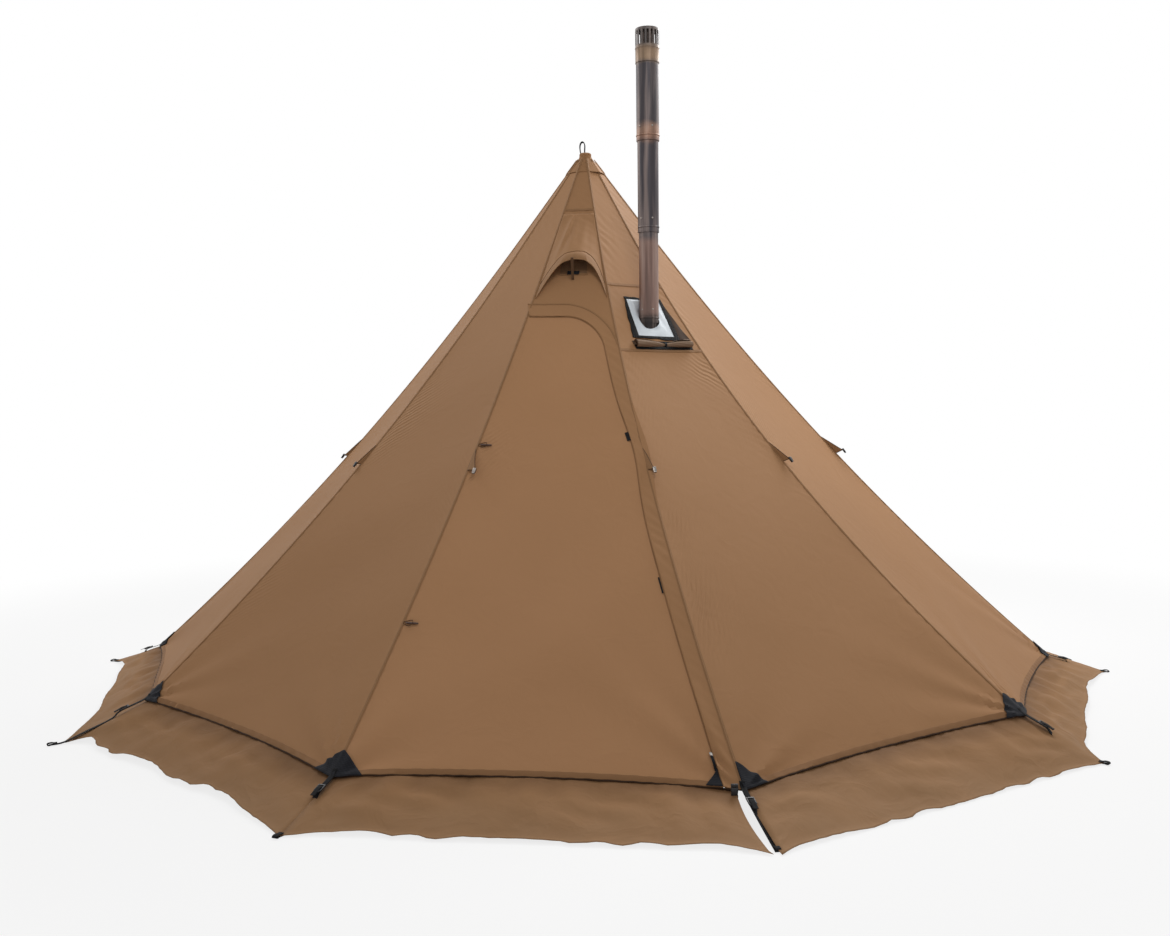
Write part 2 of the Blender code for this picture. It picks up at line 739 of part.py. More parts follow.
def make_pole(metal):
    axis = Vector((0.0, 0.0, 0.0))
    bore = POLE_RADIUS - POLE_WALL
    collar = POLE_JOINT - COLLAR_HEIGHT
    lower = [(0.0, 0.0), (FOOT_RADIUS, 0.0), (FOOT_RADIUS, FOOT_THICKNESS),
             (POLE_RADIUS, 2 * FOOT_THICKNESS), (POLE_RADIUS, collar), (COLLAR_RADIUS, collar),
             (COLLAR_RADIUS, POLE_JOINT), (bore, POLE_JOINT), (bore, 2 * FOOT_THICKNESS),
             (0.0, 2 * FOOT_THICKNESS)]
    turned("pole_lower", lower, axis, metal, POLE_SIDES)
    outer = bore - GAP
    inner = outer - POLE_WALL
    bottom = POLE_JOINT - POLE_INSERT
    shoulder = POLE_TOP - POLE_RADIUS
    upper = [(outer, bottom), (outer, shoulder), (outer / 2, POLE_TOP), (0.0, POLE_TOP),
             (0.0, shoulder), (inner, shoulder), (inner, bottom)]
    turned("pole_upper", upper, axis, metal, POLE_SIDES, origin=Vector((0.0, 0.0, bottom)))


def make_cap(material):
    radius = ridge_radius(0, NECK_HEIGHT)
    base = NECK_HEIGHT + GAP
    seat = POLE_TOP + GAP
    shoulder = APEX_HEIGHT - CAP_SHOULDER_DROP
    profile = [(radius, base), (CAP_SHOULDER, shoulder), (CAP_TIP, APEX_HEIGHT), (0.0, APEX_HEIGHT),
               (0.0, seat), (POLE_RADIUS - POLE_WALL, seat), (radius - CAP_WALL, base)]
    turned("apex_cap", profile, Vector((0.0, 0.0, 0.0)), material, SIDES, phase=HALF_STEP)


def skirt_point(panel, share, fall, top, lift, split):
    """Return a point on the skirt: fall runs from 0 at the hem to 1 at the outer edge.

    split is how far the skirt's right end is drawn away from the corner at the hem.
    """
    start = panel_point(panel, share, hem_height(panel, share) - GAP, CLOTH)
    reach = math.sin(math.pi * share)
    fold = 0.5 - 0.5 * math.cos(math.tau * SKIRT_FOLDS * share + panel)
    drawn = SKIRT_EVEN_SHARE + (1 - SKIRT_EVEN_SHARE) * fold
    drawn *= max(reach, 0.0) ** SKIRT_ROUND * SKIRT_PANEL_SHARES[panel]
    left, right = radial(panel - 1) * SKIRT_RADIUS, radial(panel) * SKIRT_RADIUS
    half = GAP / 2
    left, right = left + tangent(panel - 1) * half, right - tangent(panel) * half
    edge = left.lerp(right, share) - facing(panel)[0] * (SKIRT_FRAY * drawn)
    edge_height = lift + SKIRT_RAISE * drawn
    flat_share = 1 - SKIRT_FLAT / (SKIRT_RADIUS - CORNER_RADIUS)
    slide = min(fall / flat_share, 1.0)
    height = (start.z - SKIRT_THICKNESS) * (1 - slide) + edge_height * slide
    height += SKIRT_PUFF * math.sin(math.pi * slide) * reach * fold
    spot = start.lerp(edge, fall) - facing(panel)[1] * (split * (1 - fall) * share ** 4)
    return Vector((spot.x, spot.y, height + (SKIRT_THICKNESS if top else 0.0)))


def make_skirt(name, panels, material, lift=0.0, split=0.0, origin=None):
    flat_share = 1 - SKIRT_FLAT / (SKIRT_RADIUS - CORNER_RADIUS)
    falls = [share * flat_share for share in SKIRT_ROW_SHARES] + [1.0]
    columns = SKIRT_COLUMNS * len(panels)

    def place(i, j, top):
        turn, rest = divmod(j, SKIRT_COLUMNS)
        if turn == len(panels):
            turn, rest = turn - 1, SKIRT_COLUMNS
        panel = panels[turn] % SIDES
        spot = skirt_point(panel, rest / SKIRT_COLUMNS, falls[i], top, lift, split)
        if rest == 0 and turn:
            other = skirt_point(panels[turn - 1] % SIDES, 1.0, falls[i], top, lift, split)
            spot = (spot + other) / 2
        return spot

    return grid_solid(name, len(falls) - 1, columns, lambda i, j: place(i, j, True),
                      lambda i, j: place(i, j, False), material, origin=origin)


def strap_path(corner):
    """Return the underside of a corner strap as (radius, height) pairs, top end first."""
    hem = HEM_HEIGHT * HEM_SHARES[corner % SIDES]
    top = hem + STRAP_RISE
    slope = (ridge_radius(corner, top) - ridge_radius(corner, hem)) / STRAP_RISE
    length = math.hypot(1.0, slope)
    clear = 2 * GAP
    off = Vector((clear / length, -clear * slope / length))
    upper = Vector((ridge_radius(corner, top), top)) + off
    bend = Vector((ridge_radius(corner, hem) + STRAP_CLEARANCE / 2, hem)) + off
    ground = SKIRT_RADIUS + STRAP_BEYOND
    landing = Vector((ground, 0.0))
    eye = [Vector((ground + EYE_BORDER, 0.0)), Vector((ground + EYE_BORDER + EYE_LENGTH, 0.0)),
           Vector((ground + 2 * EYE_BORDER + EYE_LENGTH, 0.0))]
    return [upper, bend, landing] + eye


def path_normals(path):
    normals = []
    for k in range(len(path)):
        before = path[max(k - 1, 0)]
        after = path[min(k + 1, len(path) - 1)]
        run = (after - before).normalized()
        normals.append(Vector((-run.y, run.x)))
    return normals


def make_strap(corner, material):
    path = strap_path(corner)
    normals = path_normals(path)
    outward, sideways = radial(corner), tangent(corner)
    eye = STRAP_WIDTH - 2 * EYE_BORDER
    offsets = (-STRAP_WIDTH / 2, -eye / 2, eye / 2, STRAP_WIDTH / 2)

    def place(i, j, top):
        spot = path[i]
        if top:
            spot = spot + (normals[i] if i < 2 else Vector((0.0, 1.0))) * STRAP_THICKNESS
        return outward * spot.x + sideways * offsets[j] + Vector((0.0, 0.0, spot.y))

    grid_solid(f"corner_strap_{corner + 1:02d}", len(path) - 1, 3, lambda i, j: place(i, j, True),
               lambda i, j: place(i, j, False), material, keep=lambda i, j: (i, j) != (3, 1))


def buckle_frame(corner):
    """Return a ladder lock's pivot as (radius, height) and the run and normal of its strap."""
    path = strap_path(corner)
    bend, landing = path[1], path[2]
    normals = path_normals(path)
    first = bend + normals[1] * STRAP_THICKNESS
    last = landing + Vector((0.0, STRAP_THICKNESS))
    run = (last - first).normalized()
    normal = Vector((-run.y, run.x))
    pivot = first.lerp(last, BUCKLE_PLACE_SHARE) + normal * (2 * GAP)
    return pivot, run, normal


def make_buckle(corner, material):
    pivot, run, normal = buckle_frame(corner)
    outward, sideways = radial(corner), tangent(corner)
    places = [BUCKLE_LENGTH * share for share in BUCKLE_LENGTH_SHARES] + [BUCKLE_LENGTH + BUCKLE_LIP]

    def place(i, j, height_shares):
        spot = pivot + run * places[i] + normal * (BUCKLE_THICKNESS * height_shares[i])
        aside = sideways * (BUCKLE_WIDTH * BUCKLE_WIDTH_SHARES[i] * (j - 0.5))
        return outward * spot.x + aside + Vector((0.0, 0.0, spot.y))

    origin = outward * pivot.x + Vector((0.0, 0.0, pivot.y))
    grid_solid(f"corner_buckle_{corner + 1:02d}", len(places) - 1, 1,
               lambda i, j: place(i, j, BUCKLE_TOP_SHARES),
               lambda i, j: place(i, j, BUCKLE_LOW_SHARES), material, origin=origin)


def guy_frame(corner):
    """Return a guy loop's root and the run and normal of its ridge, as (radius, height)."""
    high = WAIST_HEIGHT + GUY_RISE
    low = high - GUY_LENGTH
    first = Vector((ridge_radius(corner, high), high))
    last = Vector((ridge_radius(corner, low), low))
    run = (last - first).normalized()
    normal = Vector((-run.y, run.x))
    return first + normal * (2 * GAP), run, normal


def make_guy_loop(corner, material):
    root, run, normal = guy_frame(corner)
    outward, sideways = radial(corner), tangent(corner)
    aside = ridge_aside(corner, root.y)
    places = (0.0, GUY_LENGTH - GUY_BORDER - GUY_EYE, GUY_LENGTH - GUY_BORDER, GUY_LENGTH)
    half = GUY_WIDTH / 2
    offsets = (-half, GUY_BORDER - half, half - GUY_BORDER, half)

    def place(i, j, height):
        spot = root + run * places[i] + normal * height
        return outward * spot.x + aside + sideways * offsets[j] + Vector((0.0, 0.0, spot.y))

    origin = outward * root.x + aside + Vector((0.0, 0.0, root.y))
    grid_solid(f"guy_loop_{corner + 1:02d}", 3, 3, lambda i, j: place(i, j, GUY_THICKNESS),
               lambda i, j: place(i, j, 0.0), material, keep=lambda i, j: (i, j) != (1, 1),
               origin=origin)


def build():
    clear_scene()
    cloth = make_material("tan_polyester", (0.26, 0.16, 0.095), 0.75)
    shaded = make_material("skirt_polyester", (0.24, 0.15, 0.09), 0.8)
    dark = make_material("black_binding", (0.02, 0.02, 0.022), 0.8)
    netting = make_material("vent_netting", (0.01, 0.01, 0.012), 0.9)
    heatproof = make_material("heatproof_cloth", (0.64, 0.70, 0.75), 0.55)
    webbing = make_material("black_webbing", (0.025, 0.025, 0.028), 0.85)
    plastic = make_material("black_plastic", (0.02, 0.02, 0.02), 0.45)
    steel = make_material("heated_steel", (0.12, 0.10, 0.11), 0.35, 0.9)
    tinted = make_material("tinted_steel", (0.35, 0.24, 0.17), 0.4, 0.9)
    pole = make_material("pole_aluminium", (0.55, 0.55, 0.57), 0.35, 1.0)

    make_fly(cloth)
    make_door(cloth)
    make_storm_flap(cloth)
    make_zip_slider(plastic)
    make_vent(cloth, netting, plastic)
    make_jack(heatproof, dark, cloth)
    make_flue(steel, tinted)
    make_pole(pole)
    make_cap(cloth)
    make_skirt("skirt_front", [0], shaded, DOOR_SKIRT_LIFT, SKIRT_SPLIT, hinge_origin())
    make_skirt("skirt_right", [1, 2, 3, 4], shaded)
    make_skirt("skirt_left", [5, 6, 7, 8, 9], shaded)
    for corner in range(SIDES):
        make_strap(corner, webbing)
        make_buckle(corner, plastic)
        make_guy_loop(corner, webbing)


build()
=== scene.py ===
"""Looks of a ten-sided hot tent: its cloth, webbing, netting, steel flue and small fittings."""
import math

import bmesh
import bpy
import numpy as np
from mathutils import Matrix, Vector


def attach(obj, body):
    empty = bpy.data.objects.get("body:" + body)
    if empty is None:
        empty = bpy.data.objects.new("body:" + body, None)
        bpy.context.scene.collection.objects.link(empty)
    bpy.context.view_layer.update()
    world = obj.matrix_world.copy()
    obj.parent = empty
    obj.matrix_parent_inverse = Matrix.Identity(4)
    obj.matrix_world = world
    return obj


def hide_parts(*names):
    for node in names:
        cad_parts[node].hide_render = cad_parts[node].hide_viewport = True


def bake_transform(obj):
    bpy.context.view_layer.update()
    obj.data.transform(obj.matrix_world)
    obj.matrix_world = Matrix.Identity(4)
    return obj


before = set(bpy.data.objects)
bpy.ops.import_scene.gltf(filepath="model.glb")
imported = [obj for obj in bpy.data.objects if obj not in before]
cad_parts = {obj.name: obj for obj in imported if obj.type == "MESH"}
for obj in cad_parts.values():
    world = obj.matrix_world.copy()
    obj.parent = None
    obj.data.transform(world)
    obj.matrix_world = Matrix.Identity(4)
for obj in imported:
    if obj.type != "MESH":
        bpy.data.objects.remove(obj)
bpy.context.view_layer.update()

# Fly, in metres, with one share for each corner from the corner right of the door
SIDES = 10
HALF_STEP = math.pi / SIDES
CORNER_RADIUS = 2.25
APEX_HEIGHT = 2.594
HEM_HEIGHT = 0.10
HEM_ARCH = 0.02
RIDGE_SAG = 0.145
SAG_POWER = 1.17
RIDGE_TIP = 0.012
RIDGE_LEAN = 0.035
RADIUS_SHARES = (1.0, 1.015, 1.0, 1.0, 1.0, 1.0, 1.0, 1.01, 0.985, 1.0)
HEM_SHARES = (0.94, 1.34, 0.82, 1.0, 1.0, 1.0, 1.0, 0.90, 1.36, 1.06)
SAG_SHARES = (1.0, 1.80, 1.0, 1.0, 1.0, 1.0, 1.0, 1.0, 1.08, 1.0)
LEAN_SHARES = (-1.0, 0.0, 0.0, 0.0, 0.0, 0.0, 0.0, 0.0, 0.0, -0.4)
KNEE_HEIGHT = 0.55
WAIST_HEIGHT = 1.09
PANEL_SAG_SHARE = 0.008
BAND_BOTTOM = 1.59
BAND_TOP = 1.90
VENT_SEAM = 2.28
NECK_HEIGHT = 2.50
ROW_STEP = 0.0098
PANEL_COLUMNS = 30
FRONT_COLUMNS = (8, 6, 8, 8)
JACK_COLUMNS = (13, 9, 13)

# Folds in the fly
PUCKER_DEPTH = 0.0021
PUCKER_START = 0.018
PUCKER_REACH = 0.075
FAN_DEPTH = 0.0085
FAN_START = 0.09
FAN_REACH = 0.30
SWELL_DEPTH = 0.0028
FOLD_START = 0.05
NARROW_PANEL = 0.25
GATHER_DEPTH = 0.0016
GATHER_PITCH = 0.062
GATHER_RISE = 0.06

# Door, its zip and its storm flap
DOOR_TOP = 1.75
DOOR_CORNER = 0.15
DOOR_GAP = 0.0012
ZIP_STRIP = 0.062
ZIP_DRAWN = 0.026
ZIP_DRAWN_HEIGHT = 1.16
ZIP_DRAWN_SPREAD = 0.17
ZIP_TAPE_INSET = 0.0034
ZIP_STEPS = 150
FLAP_SEAM = 0.0565
FLAP_EDGE = 0.0595

# Vent
VENT_BOTTOM = 1.95
VENT_TOP = 2.22
VENT_SHARE = 0.44
HOOD_TOP = 2.26
HOOD_SIDE = 1.84
HOOD_ARCH = 0.178
HOOD_REACH = 0.10
HOOD_LIFT = 0.003
HOOD_FOLD = 0.014
HOOD_PUCKER = 0.0026
HOOD_COLUMNS = 49
HOOD_ROWS = 29
STITCH_FALL = 0.845
STAY_PATCH_RISE = 0.057
STAY_PATCH_WIDTH = 0.056
HOOD_KNOTS = ((0.0, 0.0), (0.09, 0.42), (0.188, 0.71), (0.27, 0.86), (0.363, 0.95), (0.53, 1.0), (0.63, 1.0),
              (0.725, 0.98), (0.80, 0.90), (0.876, 0.77), (0.95, 0.46), (1.0, 0.0))

# Stove jack
JACK_SHIFT = 0.017
WINDOW_WIDTH = 0.170
WINDOW_BOTTOM = 1.665
WINDOW_TOP = 1.830
JACK_OUTER = ((-0.098, 1.841), (0.128, 1.835), (0.146, 1.636), (-0.142, 1.649))
JACK_INNER = ((-0.088, 1.832), (0.112, 1.826), (0.116, 1.654), (-0.102, 1.657))
JACK_STEPS = 24
BORDER_PROFILE = ((0.0, 0.0014), (0.03, 0.0042), (0.5, 0.0052), (0.97, 0.0044), (1.0, 0.0024))
PAD_HOLE = 0.0424
PAD_SLEEVE = 0.039
PAD_SLEEVE_SLOPE = 0.74
PAD_DRAWN_SHARE = 0.62
ROLL_LENGTH = 0.340
ROLL_RADIUS = 0.019
ROLL_RISE = 0.023
ROLL_TURNS = 2.6
TIE_RADIUS = 0.009

# Flue
FLUE_HEIGHT = 1.760
FLUE_RADIUS = 0.0408
FLUE_STEP = 0.0037
FLUE_BOTTOM = 0.475
FLUE_JOINT = 1.719
SECTION_LENGTH = 0.414
FLUE_OVERLAP = 0.040
FLUE_SECTIONS = 4
FLUE_WALL = 0.0008
BEAD_RISE = 0.024
BEAD_DEPTH = 0.0022
BEAD_HALF = 0.004
SEAM_TURNS = (2.6, 2.1, 2.9, 2.4)
RIVET_TURNS = (("a", -0.75), ("b", 0.44))
RIVET_RISE = 0.062
SLEEVE_DROP = 0.065
SLOT_HEIGHT = 0.062
SLOT_COUNT = 18
RIM_HEIGHT = 0.014

# Cap, seams, patches, straps and guy loops
CAP_TIP = 0.029
CAP_ROUND = (0.0265, 0.0235, 0.015, 0.002)
LOOP_KNOTS = ((-0.020, 0, 2.580), (-0.025, 0, 2.605), (-0.026, 0, 2.630), (-0.019, 0, 2.646),
              (-0.009, 0, 2.647), (-0.002, 0, 2.632), (-0.003, 0, 2.605), (-0.002, 0, 2.580))
LOOP_WIDTH = 0.022
LOOP_THICKNESS = 0.0045
SEAM_WIDTH = 0.014
RIDGE_ROUND = 0.012
PATCH_RISE = 0.074
PATCH_REACH = 0.105
PATCH_DROP = 0.0045
PATCH_LIFT = 0.0068
PATCH_THICKNESS = 0.0008
DOOR_PATCH_RISE = 0.046
DOOR_PATCH_REACH = 0.055
STRAP_WIDTH = 0.019
STRAP_RISE = 0.022
STRAP_BEYOND = 0.004
STRAP_SINK = 0.015
STRAP_BEND_SHARE = 0.26
STRAP_UNDER_SHARES = (0.36, 0.64, 0.86)
# Peg loop of a strap, as places out from its end and up from the ground
PEG_LOOP = ((0.006, 0.0016), (0.014, 0.004), (0.011, 0.0095), (-0.002, 0.0110), (-0.014, 0.0085),
            (-0.024, 0.0090))
# Bars of a ladder lock between its rails, as centre and size, and its tail as places along and up
LOCK_BARS = (((0.0, 0.003, 0.0034), (0.026, 0.0062, 0.0056)), ((0.0, 0.0165, 0.004), (0.026, 0.0045, 0.004)),
             ((0.0, 0.032, 0.003), (0.026, 0.0055, 0.004)), ((0.0, 0.0385, 0.0058), (0.021, 0.010, 0.0026)))
TAIL_KNOTS = ((0.010, 0.0052), (0.018, 0.0072), (0.028, 0.0082), (0.040, 0.0075), (0.052, 0.0062),
              (0.062, 0.0060))
TAIL_SHARE = 0.96
BUCKLE_PLACE_SHARE = 0.16
GUY_LENGTH = 0.126
GUY_RISE = 0.080
GUY_OUTS = (0.016, 0.026, 0.033, 0.020, 0.020, 0.020, 0.020, 0.013, 0.015, 0.014)
GUY_ASIDES = (0.022, 0.008, 0.0, 0.006, -0.006, 0.004, 0.0, 0.0, -0.004, 0.042)

# Skirt
SKIRT_RADIUS = 2.545
SKIRT_PUFF = 0.016
SKIRT_FRAY = 0.060
SKIRT_RAISE = 0.018
SKIRT_EVEN_SHARES = (0.6, 0.6, 0.85, 0.6, 0.6, 0.6, 0.6, 0.6, 0.85, 0.6)
SKIRT_PANEL_SHARES = (0.55, 0.22, 1.3, 1.0, 1.0, 1.0, 1.0, 1.0, 1.4, 1.35)
SKIRT_RAGGED_SHARES = (1.0, 1.0, 0.3, 1.0, 1.0, 1.0, 1.0, 1.0, 0.3, 1.0)
# Shares of a panel, from its left and its right corner, over which the skirt's edge draws in
SKIRT_END_SHARES = ((0.10, 0.10), (0.05, 0.08), (0.14, 0.30), (0.2, 0.2), (0.2, 0.2),
                    (0.2, 0.2), (0.2, 0.2), (0.2, 0.2), (0.18, 0.34), (0.08, 0.36))
GROUND_SHARES = (1.02, 1.0, 1.0, 1.0, 1.0, 1.0, 1.0, 1.0, 0.984, 1.0)
SKIRT_FLAT = 0.018
SKIRT_FOLDS = 3
SKIRT_TUCK = 0.004
SKIRT_INSET = 0.012
SKIRT_COLUMNS = 56
SKIRT_ROWS = 18

# Puckers beside the seams: panel, right side, pitch, slant and reach from the seam, and stretches
# along it as the height of the middle, the spread, and the strength in millimetres
PUCKERS = ((9, False, 0.024, -0.8, 0.050, ((1.29, 0.17, 1.15), (0.55, 0.20, 0.4))),
           (9, True, 0.024, -0.8, 0.025, ((1.00, 0.20, 0.4),)),
           (8, True, 0.024, -0.8, 0.030, ((1.30, 0.16, 0.5), (0.35, 0.12, 0.9))),
           (0, False, 0.024, -0.9, 0.035, ((1.15, 0.10, 0.7),)),
           (0, True, 0.045, -1.8, 0.055, ((1.2, 0.1, 0.0),)),
           (1, False, 0.045, -1.8, 0.055, ((0.88, 0.06, 0.8), (0.60, 0.13, 1.5), (1.35, 0.20, 0.3))),
           (1, True, 0.032, -0.8, 0.045, ((1.49, 0.07, 0.9),)),
           (2, False, 0.032, -1.4, 0.050, ((0.30, 0.14, 1.2), (1.25, 0.16, 0.4))),
           (2, True, 0.024, -1.0, 0.030, ((0.9, 0.1, 0.0),)),
           (3, False, 0.024, -1.0, 0.030, ((0.90, 0.25, 0.6),)),
           (5, True, 0.026, -1.0, 0.030, ((1.10, 0.22, 0.6),)),
           (6, False, 0.026, -1.1, 0.035, ((0.70, 0.25, 0.7),)),
           (7, True, 0.022, -1.0, 0.030, ((1.00, 0.22, 0.6),)))

# Colours that heat has left up the flue, as heights and colour codes; the dark stops at 1.722 and 1.738 are
# painted shade where the pipe goes into the jack's pad
FLUE_TINTS_AND_SHADE = ((0.45, "6B5A52"), (1.722, "2E2724"), (1.738, "443833"), (1.765, "A08074"),
              (2.08, "927469"), (2.115, "4C464B"), (2.20, "464147"), (2.53, "48434A"),
              (2.56, "A97F68"), (2.60, "B08A74"), (2.63, "4A4449"), (2.88, "444046"),
              (2.91, "A08468"), (2.95, "A88C70"), (2.985, "57504E"), (3.05, "6A625E"))

# Cloth: its thickness, and its finish in threads a metre, metres and colour codes
CLOTH_THICKNESS = 0.0012
CLOTH_THREADS = 900.0
HEATPROOF_THREADS = 700.0
STITCH_PITCH = 0.0034
STITCH_COLOUR = "5E452F"
DUST_COLOUR = "A58C72"
SHADE_COLOUR = "5F4128"
NET_PITCH = 0.0016

# Profiles of the hem's tape and of its rolled edge, whose dark colour is painted shadow under the hem, as
# height over the hem and lift off the cloth
HEM_PROFILE = ((0.0145, 0.0004), (0.0137, 0.0019), (0.001, 0.0024), (-0.0012, 0.0008),
               (-0.001, -0.0024), (0.012, -0.0028))
EDGE_PROFILE = ((-0.0002, 0.0012), (-0.0018, 0.0018), (-0.0036, 0.0012), (-0.0040, -0.0004),
                (-0.003, -0.002))
BRIM_PROFILE = ((0.86, 0.0006), (0.866, 0.0036), (0.90, 0.0052), (1.0, 0.0060), (1.02, 0.0006),
                (1.004, -0.0036), (0.90, -0.0028))
RIVET_PROFILE = ((0.0042, 0.0), (0.004, 0.0009), (0.0032, 0.0018), (0.0018, 0.0024), (0.0, 0.0026))
TOGGLE_PROFILE = ((0.0, 0.0), (0.0028, 0.0008), (0.0036, 0.006), (0.0046, 0.025), (0.0036, 0.044),
                  (0.0028, 0.0492), (0.0, 0.05))

# Toggles, with a loop's places as offset from the seam, rise and lift
TOGGLE_HEIGHTS = (1.185, 0.545)
TOGGLE_LOOP = ((0.002, 0.0, 0.002), (0.03, -0.008, 0.006), (0.040, 0.001, 0.0125), (0.03, 0.010, 0.006),
               (0.002, 0.004, 0.003))
RELEASE_BARS = (((0, 0.004, 0), (0.024, 0.012, 0.007)), ((0, 0.024, 0), (0.022, 0.026, 0.009)),
                ((-0.010, 0.018, 0), (0.004, 0.018, 0.006)), ((0.010, 0.018, 0), (0.004, 0.018, 0.006)),
                ((0, 0.041, 0), (0.024, 0.010, 0.006)))

# Camera and light
EYE = (0.5531, -6.0656, 1.4108)
LENS = 37.015
EYE_TURN = math.radians(5.38)
EYE_PITCH = math.radians(-3.67)
EYE_ROLL = math.radians(-0.61)
WORLD_LIGHT = 0.36
FLOOR_SIZE = 60.0
FLOOR_DROP = 0.002

TAU = math.tau
PHASES = np.random.default_rng(11).uniform(0.0, TAU, (SIDES, 16))
UP = np.array((0.0, 0.0, 1.0))


# Shader building


def feed(tree, socket, value):
    """Give a socket a value, or link it to the socket that feeds it."""
    if isinstance(value, bpy.types.NodeSocket):
        tree.links.new(value, socket)
    else:
        socket.default_value = value


def node(tree, kind, inputs=None, **settings):
    """Add a shader node; inputs are values or the sockets that feed them."""
    made = tree.nodes.new(kind)
    for key, value in settings.items():
        setattr(made, key, value)
    for key, value in (inputs or {}).items():
        feed(tree, made.inputs[key], value)
    return made


def sum_of(tree, operation, *values):
    """Join two or three values with a maths node and return its socket."""
    made = node(tree, "ShaderNodeMath", dict(enumerate(values)), operation=operation)
    return made.outputs[0]


def clamped(tree, value):
    """Return a value held between 0 and 1."""
    return node(tree, "ShaderNodeClamp", {"Value": value}).outputs[0]


def placed(tree, kind="Object"):
    """Return the places on the object, or in its UV map, which is in metres."""
    return node(tree, "ShaderNodeTexCoord").outputs[kind]


def noise(tree, place, scale, detail):
    """Return a cloudy value, finer where scale is larger."""
    inputs = {"Vector": place, "Scale": scale, "Detail": detail}
    return node(tree, "ShaderNodeTexNoise", inputs).outputs["Fac"]


def new_group(name, inputs, outputs):
    """Start a shader node group with float, vector or colour sockets."""
    kinds = {"f": "NodeSocketFloat", "v": "NodeSocketVector", "c": "NodeSocketColor"}
    tree = bpy.data.node_groups.new(name, "ShaderNodeTree")
    for title, kind in inputs:
        tree.interface.new_socket(title, in_out="INPUT", socket_type=kinds[kind])
    for title, kind in outputs:
        tree.interface.new_socket(title, in_out="OUTPUT", socket_type=kinds[kind])
    return tree, tree.nodes.new("NodeGroupInput"), tree.nodes.new("NodeGroupOutput")


def use(tree, group, inputs):
    """Place a node group in a material."""
    return node(tree, "ShaderNodeGroup", inputs, node_tree=group)


def stretched_noise(tree, place, stretch, scale, detail=2.0):
    """Return noise drawn out along the axes where stretch is small."""
    spread_out = node(tree, "ShaderNodeVectorMath", {0: place, 1: stretch}, operation="MULTIPLY")
    return noise(tree, spread_out.outputs[0], scale, detail)


def make_thread_group():
    """Uneven threads of a plain weave, from noise drawn out along the warp and the weft."""
    tree, given, result = new_group("thread weave", [("Vector", "v"), ("Threads", "f")],
                                    [("Height", "f"), ("Tone", "f")])
    warp = stretched_noise(tree, given.outputs["Vector"], (1.0, 0.05, 1.0), given.outputs["Threads"])
    weft = stretched_noise(tree, given.outputs["Vector"], (0.05, 1.0, 1.0), given.outputs["Threads"])
    height = sum_of(tree, "ADD", warp, weft)
    tree.links.new(sum_of(tree, "MULTIPLY", height, 0.5), result.inputs["Height"])
    tree.links.new(sum_of(tree, "MULTIPLY", warp, weft), result.inputs["Tone"])
    return tree


def make_crease_group():
    """Soft creases left by packing: folded noise with its sharp side up."""
    tree, given, result = new_group("packing creases", [("Vector", "v"), ("Scale", "f")], [("Height", "f")])
    broad = node(tree, "ShaderNodeTexNoise", {"Vector": given.outputs["Vector"],
                                              "Scale": given.outputs["Scale"], "Detail": 3.0,
                                              "Roughness": 0.5, "Distortion": 0.6}).outputs["Fac"]
    folded = sum_of(tree, "ABSOLUTE", sum_of(tree, "SUBTRACT", broad, 0.5))
    tree.links.new(sum_of(tree, "SUBTRACT", 1.0, sum_of(tree, "MULTIPLY", folded, 2.0)),
                   result.inputs["Height"])
    return tree


def make_stitch_group():
    """Two rows of stitches each side of a strip's middle; X runs across and Y along, in metres."""
    tree, given, result = new_group("stitch rows", [("Vector", "v"), ("Offset", "f"), ("Pitch", "f")],
                                    [("Mask", "f")])
    axes = node(tree, "ShaderNodeSeparateXYZ", {0: given.outputs["Vector"]})
    aside = sum_of(tree, "SUBTRACT", sum_of(tree, "ABSOLUTE", axes.outputs["X"]), given.outputs["Offset"])
    line = sum_of(tree, "LESS_THAN", sum_of(tree, "ABSOLUTE", aside), 0.0006)
    turn = sum_of(tree, "FRACT", sum_of(tree, "DIVIDE", axes.outputs["Y"], given.outputs["Pitch"]))
    dash = sum_of(tree, "LESS_THAN", turn, 0.72)
    tree.links.new(sum_of(tree, "MULTIPLY", line, dash), result.inputs["Mask"])
    return tree


def make_rib_group():
    """Ribs across a woven band, with a fine diagonal twill between them."""
    tree, given, result = new_group("band ribs", [("Vector", "v"), ("Pitch", "f")], [("Height", "f")])
    axes = node(tree, "ShaderNodeSeparateXYZ", {0: given.outputs["Vector"]})
    along = sum_of(tree, "DIVIDE", axes.outputs["Y"], given.outputs["Pitch"])
    across = sum_of(tree, "DIVIDE", axes.outputs["X"], given.outputs["Pitch"])
    ribs = sum_of(tree, "SINE", sum_of(tree, "MULTIPLY", along, TAU))
    twill = sum_of(tree, "SINE", sum_of(tree, "MULTIPLY", sum_of(tree, "ADD", along, across), TAU / 2))
    height = sum_of(tree, "MULTIPLY_ADD", twill, 0.4, ribs)
    tree.links.new(sum_of(tree, "MULTIPLY_ADD", height, 0.35, 0.5), result.inputs["Height"])
    return tree


def make_dust_group():
    """Dust that gathers towards the ground, broken up by noise."""
    tree, given, result = new_group("ground dust", [("Top", "f")], [("Mask", "f")])
    place = placed(tree)
    height = node(tree, "ShaderNodeSeparateXYZ", {0: place}).outputs["Z"]
    cloud = noise(tree, place, 9.0, 4.0)
    fall = sum_of(tree, "SUBTRACT", 1.0, sum_of(tree, "DIVIDE", height, given.outputs["Top"]))
    both = sum_of(tree, "MULTIPLY", fall, sum_of(tree, "MULTIPLY", cloud, 1.7))
    tree.links.new(clamped(tree, both), result.inputs["Mask"])
    return tree


THREADS = make_thread_group()
CREASES = make_crease_group()
STITCHES = make_stitch_group()
RIBS = make_rib_group()
DUST = make_dust_group()


